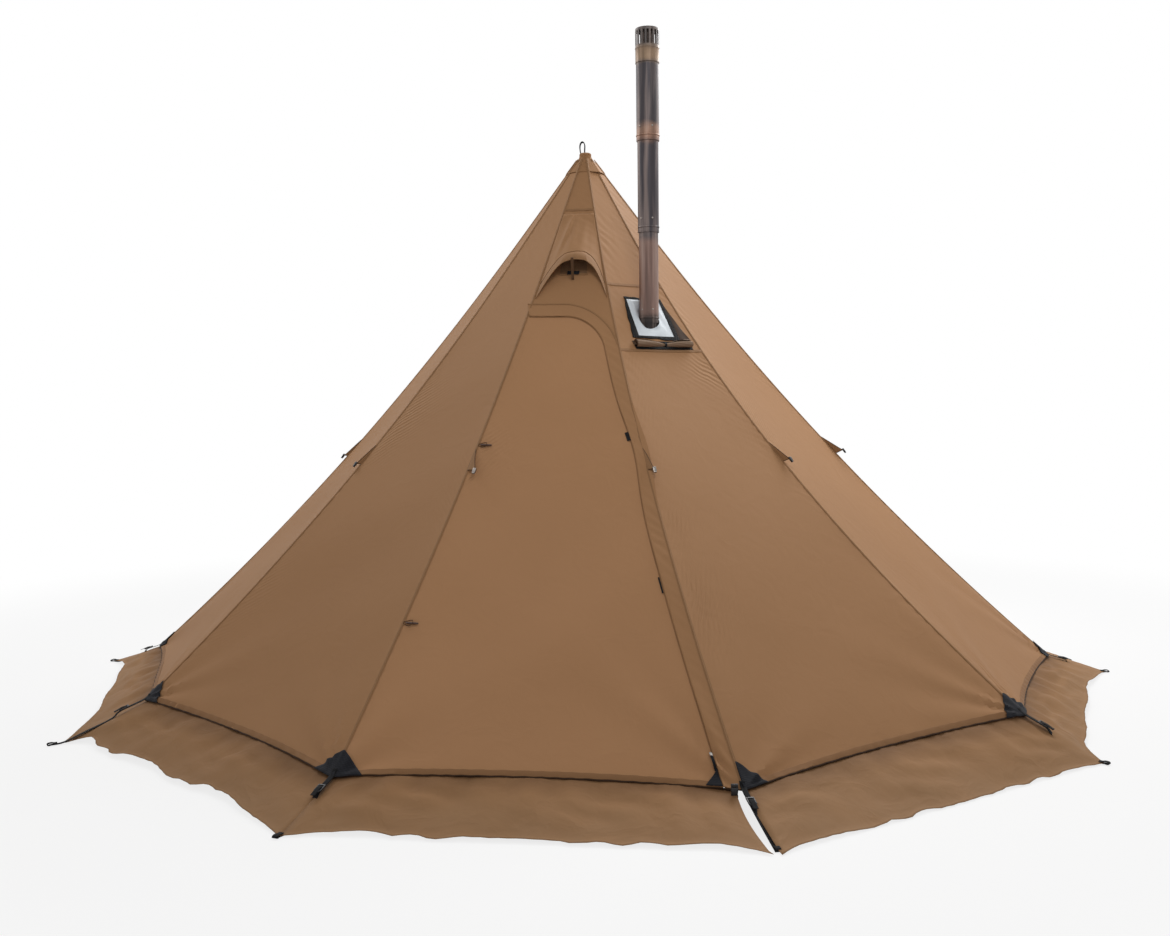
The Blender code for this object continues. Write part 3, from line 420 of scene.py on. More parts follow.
def linear(code):
    """Turn a six-figure colour code into linear red, green, blue and alpha."""
    parts = [int(code[k:k + 2], 16) / 255 for k in (0, 2, 4)]
    return tuple(p / 12.92 if p <= 0.04045 else ((p + 0.055) / 1.055) ** 2.4 for p in parts) + (1.0,)


def start_material(name, roughness, metallic=0.0, **constants):
    """Start a material; the constants are set on the shader's own sockets."""
    material = bpy.data.materials.new(name)
    material.use_nodes = True
    tree = material.node_tree
    shader = tree.nodes["Principled BSDF"]
    shader.inputs["Roughness"].default_value = roughness
    shader.inputs["Metallic"].default_value = metallic
    for key, value in constants.items():
        shader.inputs[key.replace("_", " ")].default_value = value
    return material, tree, shader


def mix_colours(tree, factor, first, second):
    """Return the first colour turned into the second by a factor."""
    made = node(tree, "ShaderNodeMix", data_type="RGBA")
    sockets = [socket for socket in made.inputs if socket.enabled]
    for socket, value in zip(sockets, (factor, first, second)):
        feed(tree, socket, value)
    return next(socket for socket in made.outputs if socket.enabled)


def bump(tree, shader, height, distance, strength=1.0, under=None):
    """Raise the surface by a height, over the relief of an earlier bump, and return its normal."""
    inputs = {"Height": height, "Distance": distance, "Strength": strength}
    if under is not None:
        inputs["Normal"] = under
    made = node(tree, "ShaderNodeBump", inputs)
    tree.links.new(made.outputs["Normal"], shader.inputs["Normal"])
    return made.outputs["Normal"]


def shaded_hem(tree, place, metres, colour, depth):
    """Paint the shade under the hem: darken a sheet's first rows in patches, down to a depth in metres."""
    down = node(tree, "ShaderNodeSeparateXYZ", {0: metres}).outputs["Y"]
    spot = noise(tree, place, 6.0, 4.0)
    fade = node(tree, "ShaderNodeMapRange",
                {"Value": down, "From Min": 0.0, "From Max": depth, "To Min": 1.35, "To Max": 0.0})
    shade = clamped(tree, sum_of(tree, "MULTIPLY", fade.outputs[0], spot))
    return mix_colours(tree, shade, colour, linear(SHADE_COLOUR))


def puckered(tree, shader, place, under):
    """Add the fine puckers that the sheet's points carry, and return the normal."""
    turn = node(tree, "ShaderNodeAttribute", attribute_name="pucker_turn").outputs["Fac"]
    size = node(tree, "ShaderNodeAttribute", attribute_name="pucker").outputs["Fac"]
    wave = sum_of(tree, "SINE", sum_of(tree, "MULTIPLY_ADD", noise(tree, place, 8.0, 1.0), 9.0, turn))
    return bump(tree, shader, sum_of(tree, "MULTIPLY", wave, size), 0.001, 1.0, under)


def cloth_material(name, light, dark, dust=0.0, stitch=None, crease=0.0016, roughness=0.72,
                   pucker=False, shade=0.0):
    """Proofed polyester: threads, packing creases, slow colour drift, and stitches on a strip."""
    material, tree, shader = start_material(name, roughness, Sheen_Weight=0.03, Sheen_Roughness=0.45,
                                            Specular_IOR_Level=0.14)
    metres, place = placed(tree, "UV"), placed(tree)
    weave = use(tree, THREADS, {"Vector": metres, "Threads": CLOTH_THREADS})
    colour = mix_colours(tree, noise(tree, place, 1.3, 5.0), linear(light), linear(dark))
    threads = sum_of(tree, "MULTIPLY", weave.outputs["Tone"], 0.35)
    colour = mix_colours(tree, threads, colour, linear(dark))
    if dust:
        grime = use(tree, DUST, {"Top": dust})
        grime = sum_of(tree, "MULTIPLY", grime.outputs["Mask"], 0.22)
        colour = mix_colours(tree, grime, colour, linear(DUST_COLOUR))
    if shade:
        colour = shaded_hem(tree, place, metres, colour, shade)
    if stitch:
        rows = use(tree, STITCHES, {"Vector": metres, "Offset": stitch, "Pitch": STITCH_PITCH})
        rows = sum_of(tree, "MULTIPLY", rows.outputs["Mask"], 0.5)
        colour = mix_colours(tree, rows, colour, linear(STITCH_COLOUR))
    tree.links.new(colour, shader.inputs["Base Color"])
    packed = use(tree, CREASES, {"Vector": place, "Scale": 7.0})
    under = bump(tree, shader, packed.outputs["Height"], crease)
    if pucker:
        under = puckered(tree, shader, place, under)
    bump(tree, shader, weave.outputs["Height"], 0.00012, 0.6, under)
    return material


def band_material(name, colour, edge, pitch=0.0022, roughness=0.8):
    """Woven webbing or ribbed reinforcement, paler on its ribs' tops as a painted highlight."""
    material, tree, shader = start_material(name, roughness, Sheen_Weight=0.04, Sheen_Roughness=0.5,
                                            Specular_IOR_Level=0.16)
    metres = placed(tree, "UV")
    ribs = use(tree, RIBS, {"Vector": metres, "Pitch": pitch})
    cloud = noise(tree, metres, 60.0, 4.0)
    # Painted highlight: the colour turns toward the paler second colour on the ribs' tops, in cloudy patches.
    tone = sum_of(tree, "MULTIPLY", ribs.outputs["Height"], cloud)
    tree.links.new(mix_colours(tree, tone, linear(colour), linear(edge)), shader.inputs["Base Color"])
    bump(tree, shader, ribs.outputs["Height"], 0.0004)
    return material


def plastic_material(name, colour, worn, roughness=0.42):
    """Moulded plastic with a fine grain, paler where it is worn."""
    material, tree, shader = start_material(name, roughness)
    place = placed(tree)
    grain = noise(tree, place, 900.0, 3.0)
    cloud = noise(tree, place, 90.0, 3.0)
    tree.links.new(mix_colours(tree, cloud, linear(colour), linear(worn)), shader.inputs["Base Color"])
    bump(tree, shader, grain, 0.00006)
    return material


def steel_material(name, stops, roughness, metallic=0.85):
    """Sheet steel tinted by heat: bands of colour up the pipe, with soft uneven edges, fine streaks, and wide
    pale and dark streaks that are painted reflections.
    """
    material, tree, shader = start_material(name, roughness, metallic)
    place = placed(tree)
    height = node(tree, "ShaderNodeSeparateXYZ", {0: place}).outputs["Z"]
    cloud = noise(tree, place, 14.0, 5.0)
    streak = stretched_noise(tree, place, (1.0, 1.0, 0.04), 160.0, 3.0)
    level = sum_of(tree, "MULTIPLY_ADD", cloud, 0.05, height)
    low, high = stops[0][0], stops[-1][0]
    share = sum_of(tree, "DIVIDE", sum_of(tree, "SUBTRACT", level, low + 0.025), high - low)
    ramp = node(tree, "ShaderNodeValToRGB", {"Fac": share})
    points = ramp.color_ramp.elements
    while len(points) < len(stops):
        points.new(0.5)
    for point, (level_up, _) in zip(points, stops):
        point.position = (level_up - low) / (high - low)
    for point, (_, code) in zip(points, stops):
        point.color = linear(code)
    # Painted reflections: wide streaks down the metal, the pale ones a painted highlight and the dark ones a
    # painted dark reflection.
    wide = stretched_noise(tree, place, (1.0, 1.0, 0.05), 42.0)
    pale = clamped(tree, sum_of(tree, "MULTIPLY_ADD", wide, 3.2, -1.45))
    darkened = clamped(tree, sum_of(tree, "MULTIPLY_ADD", wide, -3.2, 1.75))
    colour = mix_colours(tree, sum_of(tree, "MULTIPLY", pale, 0.42), ramp.outputs["Color"], linear("DCC3B6"))
    colour = mix_colours(tree, sum_of(tree, "MULTIPLY", darkened, 0.5), colour, linear("231E20"))
    tone = sum_of(tree, "MULTIPLY", streak, 0.4)
    tree.links.new(mix_colours(tree, tone, colour, linear("2A2422")), shader.inputs["Base Color"])
    bump(tree, shader, streak, 0.00012)
    return material


def heatproof_material(name):
    """White heat-resistant cloth, with a ring of painted shade round the hole where the pipe goes through."""
    material, tree, shader = start_material(name, 0.6)
    texture = node(tree, "ShaderNodeTexCoord")
    place = texture.outputs["Object"]
    weave = use(tree, THREADS, {"Vector": texture.outputs["UV"], "Threads": HEATPROOF_THREADS})
    # Painted shade: the pad is darkened in a ring round the pipe, standing in for the shadow in the pipe's
    # hole.
    away = node(tree, "ShaderNodeVectorMath", {0: place, 1: tuple(flue_centre())}, operation="DISTANCE")
    cloud = noise(tree, place, 45.0, 4.0)
    reach = sum_of(tree, "MULTIPLY_ADD", cloud, 0.03, 0.044)
    near = sum_of(tree, "SUBTRACT", reach, away.outputs["Value"])
    ring = clamped(tree, sum_of(tree, "MULTIPLY", near, 45.0))
    shade = mix_colours(tree, cloud, linear("E2E9EE"), linear("D2DAE0"))
    colour = mix_colours(tree, ring, shade, linear("6A5A50"))
    tree.links.new(colour, shader.inputs["Base Color"])
    bump(tree, shader, weave.outputs["Height"], 0.0002)
    return material


def net_material(name):
    """Fine brown netting: a grid of threads with the dark inside of the tent between them."""
    material, tree, shader = start_material(name, 0.9)
    metres = placed(tree, "UV")
    axes = node(tree, "ShaderNodeSeparateXYZ", {0: metres})
    waves = [sum_of(tree, "SINE", sum_of(tree, "MULTIPLY", axes.outputs[k], TAU / NET_PITCH)) for k in "XY"]
    thread = sum_of(tree, "MAXIMUM", *waves)
    tree.links.new(mix_colours(tree, thread, linear("86654A"), linear("A9815C")), shader.inputs["Base Color"])
    bump(tree, shader, thread, 0.0002)
    return material


MATERIALS = {}


def make_materials():
    """Make every finish of the tent, by the name of what it is used on."""
    m = MATERIALS
    m["fly"] = cloth_material("tan fly cloth", "B38760", "A77C56", pucker=True)
    # The door's cloth is the fly's tan painted lighter, standing in for the light that falls on the door.
    m["door"] = cloth_material("tan door cloth painted lighter", "C2926A", "B5875F", pucker=True)
    m["hood"] = cloth_material("tan hood cloth", "AF845E", "A07650")
    # The felled seam's brown, darker than the fly's, is painted shade along the seams.
    m["seam"] = cloth_material("tan felled seam", "A57B56", "94704E", stitch=0.0035, crease=0.0006)
    m["hem"] = cloth_material("brown hem tape", "A37A56", "8C6746", crease=0.0008)
    m["skirt"] = cloth_material("tan skirt cloth", "AB8059", "94704C", dust=0.09, crease=0.005,
                                shade=0.13)
    m["roll"] = cloth_material("rolled flap cloth", "A08670", "6A523D", crease=0.003)
    m["webbing"] = band_material("black webbing", "0B0B0D", "1E1E21")
    m["patch"] = band_material("black ribbed patch", "18191D", "36373E", pitch=0.007)
    m["binding"] = band_material("black binding", "060607", "121213", pitch=0.0018)
    m["plastic"] = plastic_material("black plastic", "121214", "26262A")
    m["toggle"] = plastic_material("brown toggles", "3A251B", "573C2C")
    # Painted shade: this dark brown stands in for the shadow under the hem and the shade beside the stove
    # jack.
    m["edge"] = cloth_material("painted shade brown cloth", "4A3424", "35251A", crease=0.0004)
    m["tape"] = band_material("zip tape", "5E4531", "755A42", pitch=0.0028)
    m["metal"] = steel_material("small fittings", ((0.0, "9A9894"), (3.2, "8C8A86")), 0.35)
    m["rivet"] = steel_material("rivets", ((0.0, "B5AFA8"), (3.2, "B5AFA8")), 0.3)
    m["soot"] = steel_material("sooted core", ((0.0, "161413"), (3.2, "1E1B1A")), 0.7)
    m["aluminium"] = steel_material("pole aluminium", ((0.0, "BDBEC2"), (3.2, "B4B5BA")), 0.3)
    m["steel"] = steel_material("heated flue steel", FLUE_TINTS_AND_SHADE, 0.5, 0.35)
    m["heatproof"] = heatproof_material("heatproof cloth")
    m["net"] = net_material("vent netting")


# Shape of the fly


def radial(corner):
    """Return the level direction out through a corner."""
    angle = (2 * corner + 1) * HALF_STEP
    return np.array((math.sin(angle), -math.cos(angle), 0.0))


def tangent(corner):
    """Return the level direction round the tent at a corner, rightward from the front."""
    angle = (2 * corner + 1) * HALF_STEP
    return np.array((math.cos(angle), math.sin(angle), 0.0))


def facing(panel):
    """Return the outward and the rightward level directions of a panel."""
    angle = 2 * panel * HALF_STEP
    return (np.array((math.sin(angle), -math.cos(angle), 0.0)),
            np.array((math.cos(angle), math.sin(angle), 0.0)))


def ridge_radius(corner, height):
    """Return a ridge's radius: a straight line to the apex, less its sag."""
    corner %= SIDES
    climb = (height - HEM_HEIGHT) / (APEX_HEIGHT - HEM_HEIGHT)
    radius = CORNER_RADIUS * (1 - climb) + RIDGE_TIP * climb
    sag = 4 * RIDGE_SAG * climb * np.maximum(1 - climb, 0.0) ** SAG_POWER
    return (radius - sag * SAG_SHARES[corner]) * RADIUS_SHARES[corner]


def ridge_point(corner, height):
    """Return a place on a ridge, which sags and, at some corners, leans."""
    height = np.asarray(height, float)
    climb = (height - HEM_HEIGHT) / (APEX_HEIGHT - HEM_HEIGHT)
    lean = 4 * RIDGE_LEAN * LEAN_SHARES[corner % SIDES] * climb * (1 - climb)
    level = ridge_radius(corner, height)[..., None] * radial(corner)
    return level + lean[..., None] * tangent(corner) + height[..., None] * UP


def panel_width(panel, height):
    """Return the distance between a panel's ridges at a height."""
    gap = ridge_point(panel, height) - ridge_point(panel - 1, height)
    return np.linalg.norm(gap, axis=-1)


def unit(vectors):
    """Return vectors of length one."""
    return vectors / np.linalg.norm(vectors, axis=-1)[..., None]


def panel_across(panel, height):
    """Return the direction from a panel's left ridge to its right one."""
    return unit(ridge_point(panel, height) - ridge_point(panel - 1, height))


def panel_normal(panel, height):
    """Return the outward direction of a panel at a height."""
    step = 0.01
    height = np.asarray(height, float)

    def middle(level):
        return (ridge_point(panel - 1, level) + ridge_point(panel, level)) / 2

    return unit(np.cross(panel_across(panel, height), middle(height + step) - middle(height - step)))


def hem_height(panel, share):
    """Return the height of a panel's hem, which arches between its corners."""
    low = HEM_HEIGHT * HEM_SHARES[(panel - 1) % SIDES]
    high = HEM_HEIGHT * HEM_SHARES[panel % SIDES]
    return low + (high - low) * share + 4 * HEM_ARCH * share * (1 - share)


def row_height(panel, share, level):
    """Return the height of a place on a row, which bends down to the hem's arch below the knee."""
    fade = np.clip((KNEE_HEIGHT - level) / (KNEE_HEIGHT - HEM_HEIGHT), 0.0, 1.0)
    return level + (hem_height(panel, share) - HEM_HEIGHT) * fade


def puckers(side, height, phase, pitch, slant, patch):
    """Short gathers beside a seam, stronger in some stretches than in others."""
    near = np.exp(-side / PUCKER_REACH) * np.clip(side / PUCKER_START, 0.0, 1.0)
    run = height + slant * side
    wave = np.sin(TAU * run / pitch + 1.3 * np.sin(TAU * height / 0.19 + phase[0]) + phase[1])
    strength = 0.35 + 0.65 * np.clip(np.sin(TAU * height / patch + phase[2]), 0.0, 1.0) ** 2
    return PUCKER_DEPTH * near * wave * strength


def pucker_marks(panel, share, height):
    """Return the strength in millimetres and the phase of the fine puckers at places on a panel."""
    width = panel_width(panel, height)
    share = np.broadcast_to(share, width.shape)
    strength, turn = np.zeros_like(width), np.zeros_like(width)
    for number, right, pitch, slant, reach, stretches in PUCKERS:
        if number != panel % SIDES:
            continue
        side = (1 - share if right else share) * width
        near = side / reach * np.exp(1 - side / reach)
        near = near * sum(size * np.exp(-((height - middle) / reach_up) ** 2)
                          for middle, reach_up, size in stretches)
        here = (share > 0.5) == right
        turn = np.where(here, TAU * (height + slant * side) / pitch, turn)
        strength = np.where(here, near, strength)
    return {"pucker": strength, "pucker_turn": turn}


def fan(side, rise, phase):
    """Return the relief of the folds that spread from a tight corner."""
    steep = 1.3 * rise
    reach = np.hypot(side, steep)
    turn = np.arctan2(steep, side)
    wave = np.sin(8 * turn + phase[3] + 1.4 * np.sin(3 * turn + phase[4]))
    return FAN_DEPTH * wave * np.exp(-reach / FAN_REACH) * np.clip(reach / FAN_START, 0.0, 1.0)


def folds(panel, share, height, width):
    """Return how far the cloth stands out from its flat panel, in metres."""
    panel %= SIDES
    phase = PHASES[panel]
    left, right = share * width, (1 - share) * width
    edge = np.clip(np.minimum(left, right) / FOLD_START, 0.0, 1.0)
    narrow = np.clip(width / NARROW_PANEL, 0.0, 1.0)
    rise = np.maximum(height - hem_height(panel, share), 0.0)
    slow = np.sin(TAU * (0.9 * height + 0.7 * left) + phase[5]) + 0.7 * np.sin(
        TAU * (1.7 * height - 1.1 * left) + phase[6])
    made = SWELL_DEPTH * slow * edge * np.clip(width, 0.0, 1.0)
    made += puckers(left, height, phase, 0.047, 0.8, 0.62) * narrow
    made += puckers(right, height, phase[1:], 0.043, -0.7, 0.71) * narrow
    made += (fan(left, rise, phase) + fan(right, rise, phase[7:])) * edge
    gathers = np.sin(TAU * left / GATHER_PITCH + 1.6 * np.sin(TAU * left / 0.37 + phase[8]))
    made += GATHER_DEPTH * gathers * np.exp(-rise / GATHER_RISE) * edge
    return made - 4 * PANEL_SAG_SHARE * width * share * (1 - share)


def cloth_point(panel, share, height, lift=0.0):
    """Return a place on the fly's cloth, folds included; lift is along its normal."""
    height = np.asarray(height, float)
    share = np.asarray(share, float)
    left, right = ridge_point(panel - 1, height), ridge_point(panel, height)
    width = panel_width(panel, height)
    relief = folds(panel, share, height, width) + lift
    return left + (right - left) * share[..., None] + panel_normal(panel, height) * relief[..., None]


def zip_strip(height):
    """Return the width of the cloth between the zip and the right ridge, drawn in half way up."""
    return ZIP_STRIP - ZIP_DRAWN * np.exp(-((height - ZIP_DRAWN_HEIGHT) / ZIP_DRAWN_SPREAD) ** 2)


def zip_offset(height):
    """Return how far the door's free edge lies from the right ridge."""
    start = DOOR_TOP - DOOR_CORNER
    rise = np.clip(height - start, 0.0, DOOR_CORNER)
    return zip_strip(height) + DOOR_CORNER - np.sqrt(DOOR_CORNER ** 2 - rise ** 2)


def zip_share(height):
    """Return the share of the front panel at which the zip runs."""
    level = np.minimum(height, DOOR_TOP)
    return 1 - zip_offset(level) / panel_width(0, level)


def spread(knots, counts):
    """Return shares that run through the knots with so many even steps between them."""
    parts = [np.linspace(0.0, 1.0, count + 1)[None, :-1] * (high - low)[:, None] + low[:, None]
             for low, high, count in zip(knots, knots[1:], counts)]
    return np.concatenate(parts + [knots[-1][:, None]], axis=1)


def row_levels():
    """Return the heights of the fly's rows, close together where the door's corner turns."""
    start = DOOR_TOP - DOOR_CORNER
    low = np.linspace(HEM_HEIGHT, start, round((start - HEM_HEIGHT) / ROW_STEP) + 1)
    turn = start + DOOR_CORNER * np.sin(np.linspace(0.0, math.pi / 2, 17)[1:])
    knots = (DOOR_TOP, WINDOW_TOP, VENT_BOTTOM, VENT_TOP, NECK_HEIGHT)
    high = [np.linspace(a, b, round((b - a) / ROW_STEP) + 1)[1:] for a, b in zip(knots, knots[1:])]
    return np.concatenate([low, turn] + high)


def panel_shares(panel, levels):
    """Return the shares of a panel's columns on each row, through its openings' edges."""
    none, whole = np.zeros_like(levels), np.ones_like(levels)
    if panel == 0:
        edge = zip_share(levels)
        top = zip_share(np.array([DOOR_TOP]))[0]
        half = VENT_SHARE / 2
        first = edge * (0.5 - half) / top
        last = edge + (1 - edge) * (0.5 + half - top) / (1 - top)
        return spread([none, first, edge, last, whole], FRONT_COLUMNS)
    if panel == 1:
        level = np.clip(levels, WINDOW_BOTTOM, WINDOW_TOP)
        width = panel_width(1, level)
        low = 0.5 + (JACK_SHIFT - WINDOW_WIDTH / 2) / width
        high = 0.5 + (JACK_SHIFT + WINDOW_WIDTH / 2) / width
        return spread([none, low, high, whole], JACK_COLUMNS)
    even = np.linspace(0.0, 1.0, PANEL_COLUMNS + 1)
    bunched = 0.5 - 0.5 * np.cos(math.pi * even)
    return np.tile(0.5 * even + 0.5 * bunched, (len(levels), 1))


def flue_centre():
    """Return the place where the flue's middle line passes the jack."""
    height = np.array(FLUE_HEIGHT)
    return cloth_point(1, 0.5 + JACK_SHIFT / panel_width(1, height), height) - folds_out(1, height)


def folds_out(panel, height):
    """Return the push that the folds give the middle of a panel."""
    width = panel_width(panel, height)
    share = 0.5 + JACK_SHIFT / width
    return panel_normal(panel, height) * folds(panel, share, height, width)


# Mesh building


def make_mesh(name, points, faces, material, uv=None, sharp=30.0, body="root", marks=None):
    """Make an object from points and faces, without unused points; marks are values on points."""
    faces = [tuple(face) for face in faces]
    used = np.unique(np.concatenate([np.asarray(face) for face in faces]))
    order = np.full(len(points), -1)
    order[used] = np.arange(len(used))
    mesh = bpy.data.meshes.new(name)
    mesh.from_pydata(points[used].tolist(), [], [[int(order[k]) for k in face] for face in faces])
    if uv is not None:
        layer = mesh.uv_layers.new(name="metres")
        corners = np.concatenate([np.asarray(face) for face in faces])
        layer.data.foreach_set("uv", uv[corners].astype(np.float32).ravel())
    for key, values in (marks or {}).items():
        mark = mesh.attributes.new(key, "FLOAT", "POINT")
        mark.data.foreach_set("value", values.reshape(-1)[used].astype(np.float32))
    mesh.materials.append(material)
    mesh.shade_smooth()
    mesh.set_sharp_from_angle(angle=math.radians(sharp))
    thing = bpy.data.objects.new(name, mesh)
    bpy.context.scene.collection.objects.link(thing)
    if body:
        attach(thing, body)
    return thing


def grid_faces(rows, columns, keep=None, wrap=False):
    """Return the quads of a grid of points, row by row."""
    width = columns if wrap else columns + 1
    i, j = np.meshgrid(np.arange(rows), np.arange(columns), indexing="ij")
    after = (j + 1) % columns if wrap else j + 1
    quads = np.stack([i * width + j, i * width + after, (i + 1) * width + after, (i + 1) * width + j], -1)
    return quads[keep] if keep is not None else quads.reshape(-1, 4)


def metres_of(points):
    """Return each grid point's distance across the sheet from its middle, and along it."""
    across = np.zeros(points.shape[:2])
    across[:, 1:] = np.cumsum(np.linalg.norm(np.diff(points, axis=1), axis=2), axis=1)
    along = np.zeros(points.shape[:2])
    along[1:] = np.cumsum(np.linalg.norm(np.diff(points, axis=0), axis=2), axis=0)
    return np.stack([across - across[:, -1:] / 2, along], -1)


def make_sheet(name, points, material, keep=None, wrap=False, thickness=0.0, sharp=30.0,
               body="root", offset=-1.0, marks=None):
    """Make a sheet from a grid of points, with a measured UV map and an optional thickness."""
    rows, columns = points.shape[0] - 1, points.shape[1] - (0 if wrap else 1)
    faces = grid_faces(rows, columns, keep, wrap)
    uv = metres_of(points).reshape(-1, 2)
    thing = make_mesh(name, points.reshape(-1, 3), faces, material, uv, sharp, body, marks)
    if thickness:
        solid = thing.modifiers.new("thickness", "SOLIDIFY")
        solid.thickness = thickness
        solid.offset = offset
    return thing


def make_fly():
    """The ten gores as one sheet, open at the door, the vent and the stove jack."""
    levels = row_levels()
    blocks, keeps, given = [], [], []
    middle = (levels[:-1] + levels[1:]) / 2
    for panel in range(SIDES):
        shares = panel_shares(panel, levels)
        heights = row_height(panel, shares, levels[:, None])
        points = cloth_point(panel, shares, heights)
        keep = np.ones((len(levels) - 1, shares.shape[1] - 1), bool)
        if panel == 0:
            keep[middle < DOOR_TOP, :sum(FRONT_COLUMNS[:2])] = False
            vent = slice(FRONT_COLUMNS[0], sum(FRONT_COLUMNS[:3]))
            keep[(middle > VENT_BOTTOM) & (middle < VENT_TOP), vent] = False
        if panel == 1:
            window = slice(JACK_COLUMNS[0], sum(JACK_COLUMNS[:2]))
            keep[(middle > WINDOW_BOTTOM) & (middle < WINDOW_TOP), window] = False
        blocks.append(points[:, :-1])
        keeps.append(keep)
        given.append(pucker_marks(panel, shares, heights))
    marks = {key: np.concatenate([part[key][:, :-1] for part in given], axis=1) for key in given[0]}
    fly = make_sheet("fly_cloth", np.concatenate(blocks, axis=1), MATERIALS["fly"],
                     np.concatenate(keeps, axis=1), wrap=True, sharp=18.0, marks=marks)
    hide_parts("fly_panel_01_front", "fly_panel_02_jack",
                *[f"fly_panel_{k:02d}" for k in range(3, SIDES + 1)])
    return fly


def make_door():
    """The door leaf, sewn at the left ridge and free along its zip."""
    start = DOOR_TOP - DOOR_CORNER
    low = np.linspace(HEM_HEIGHT, start, 131)
    turn = start + DOOR_CORNER * np.sin(np.linspace(0.0, math.pi / 2, 17)[1:])
    levels = np.concatenate([low, turn])
    shares = np.linspace(0.0, 1.0, 45)[None, :] * (zip_share(levels)[:, None] - DOOR_GAP)
    heights = row_height(0, shares, levels[:, None])
    door = make_sheet("door_cloth", cloth_point(0, shares, heights), MATERIALS["door"], body=None,
                      marks=pucker_marks(0, shares, heights))
    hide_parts("door_leaf")
    return blend_door(door)


def blend_door(thing):
    """Work out the door's hinge line, which is not used, and bake the piece's placement into its mesh."""
    line = facing(0)[1]
    hinge = ridge_point(SIDES - 1, np.array(HEM_HEIGHT))
    lean = ridge_point(SIDES - 1, np.array(DOOR_TOP)) - hinge
    across = line - lean * (line @ lean) / (lean @ lean)
    across /= np.linalg.norm(across)
    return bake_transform(thing)


def skirt_edge(panel, share):
    """Return a skirt's edge, drawn in and ragged between its pegs, and how drawn and free it is."""
    phase = PHASES[panel % SIDES]
    left = radial(panel - 1) * SKIRT_RADIUS * GROUND_SHARES[(panel - 1) % SIDES]
    right = radial(panel) * SKIRT_RADIUS * GROUND_SHARES[panel % SIDES]
    first_end, last_end = SKIRT_END_SHARES[panel % SIDES]
    near = np.clip(np.minimum(share / first_end, (1 - share) / last_end), 0.0, 1.0)
    reach = near * (2 - near)
    fold = 0.5 - 0.5 * np.cos(TAU * SKIRT_FOLDS * share + panel % SIDES)
    even = SKIRT_EVEN_SHARES[panel % SIDES]
    drawn = even + (1 - even) * fold
    drawn = drawn * reach * SKIRT_PANEL_SHARES[panel % SIDES]
    small = np.sin(TAU * 6 * share + phase[9] + 2.4 * np.sin(TAU * 2.3 * share + phase[10]))
    bite = np.sin(TAU * 4.3 * share + phase[14] + 2 * np.sin(TAU * 1.7 * share + phase[15]))
    notch = np.clip(bite - 0.72, 0.0, 1.0)
    ragged = 0.006 * small + 0.022 * notch + 0.002 * np.sin(TAU * 31 * share + phase[11])
    fray = SKIRT_FRAY * drawn + ragged * reach * SKIRT_RAGGED_SHARES[panel % SIDES]
    edge = left + (right - left) * share[..., None] - facing(panel)[0] * fray[..., None]
    return edge, SKIRT_RAISE * drawn + 0.003 * small * reach, reach, fold


def skirt_grid(panel, lift=0.0):
    """Return one panel's skirt, from under the hem out over the ground."""
    rows = np.concatenate([np.linspace(0.0, 0.93, SKIRT_ROWS), [0.965, 1.0]])
    share, fall = np.meshgrid(np.linspace(0.0, 1.0, SKIRT_COLUMNS + 1), rows)
    phase = PHASES[panel % SIDES]
    top = cloth_point(panel, share, hem_height(panel, share) + SKIRT_TUCK, -SKIRT_INSET)
    edge, raised, reach, fold = skirt_edge(panel, share)
    flat_share = 1 - SKIRT_FLAT / (SKIRT_RADIUS - CORNER_RADIUS)
    slide = np.clip(fall / flat_share, 0.0, 1.0)
    height = (top[..., 2] - 0.002) * (1 - slide) + raised * slide + lift + 0.003
    swell = np.sin(math.pi * slide)
    height = height + SKIRT_PUFF * swell * reach * fold
    along = np.sin(TAU * (9 * share + 0.6 * slide) + phase[12])
    height = height + 0.0035 * swell * along * reach
    turn = 2 * np.sin(TAU * (2.2 * share + slide) + phase[11])
    cross = np.sin(TAU * (7 * share - 1.3 * slide) + phase[13] + turn)
    height = height + 0.0042 * swell * cross * reach
    spot = top + (edge - top) * fall[..., None]
    spot[..., 2] = np.maximum(height, 0.0015 + lift)
    return spot


def make_skirts():
    """The snow skirts: one on each side of the door, and one on the door itself."""
    size = {"thickness": CLOTH_THICKNESS, "sharp": 60.0}
    for name, panels in (("skirt_right", range(1, 5)), ("skirt_left", range(5, 10))):
        grids = [skirt_grid(panel) for panel in panels]
        joined = [grid[:, :-1] for grid in grids[:-1]] + [grids[-1]]
        for before, after in zip(grids, grids[1:]):
            after[:, 0] = (after[:, 0] + before[:, -1]) / 2
        points = np.concatenate(joined, axis=1)
        skirt = make_sheet(f"{name}_cloth", points, MATERIALS["skirt"], **size)
        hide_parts(name)
    grid = skirt_grid(0, lift=0.0005)
    pull = 0.026 + 0.018 * np.sin(math.pi * np.linspace(0.0, 1.0, grid.shape[0]))
    share = np.linspace(0.0, 1.0, grid.shape[1]) ** 5
    grid -= facing(0)[1] * (pull[:, None] * share[None, :])[..., None]
    skirt = make_sheet("skirt_front_cloth", grid, MATERIALS["skirt"], body=None, **size)
    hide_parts("skirt_front")
    blend_door(skirt)


def smooth_path(knots, count=8):
    """Run a smooth line through the knots, with so many points on each stretch."""
    knots = np.array(knots, float)
    padded = np.concatenate([2 * knots[:1] - knots[1:2], knots, 2 * knots[-1:] - knots[-2:-1]])
    t = np.linspace(0.0, 1.0, count, endpoint=False)[:, None]
    parts = [b + (c - a) * t / 2 + (2 * a - 5 * b + 4 * c - d) * t ** 2 / 2
             + (3 * b - a - 3 * c + d) * t ** 3 / 2
             for a, b, c, d in zip(padded, padded[1:], padded[2:], padded[3:])]
    return np.concatenate(parts + [knots[-1:]])


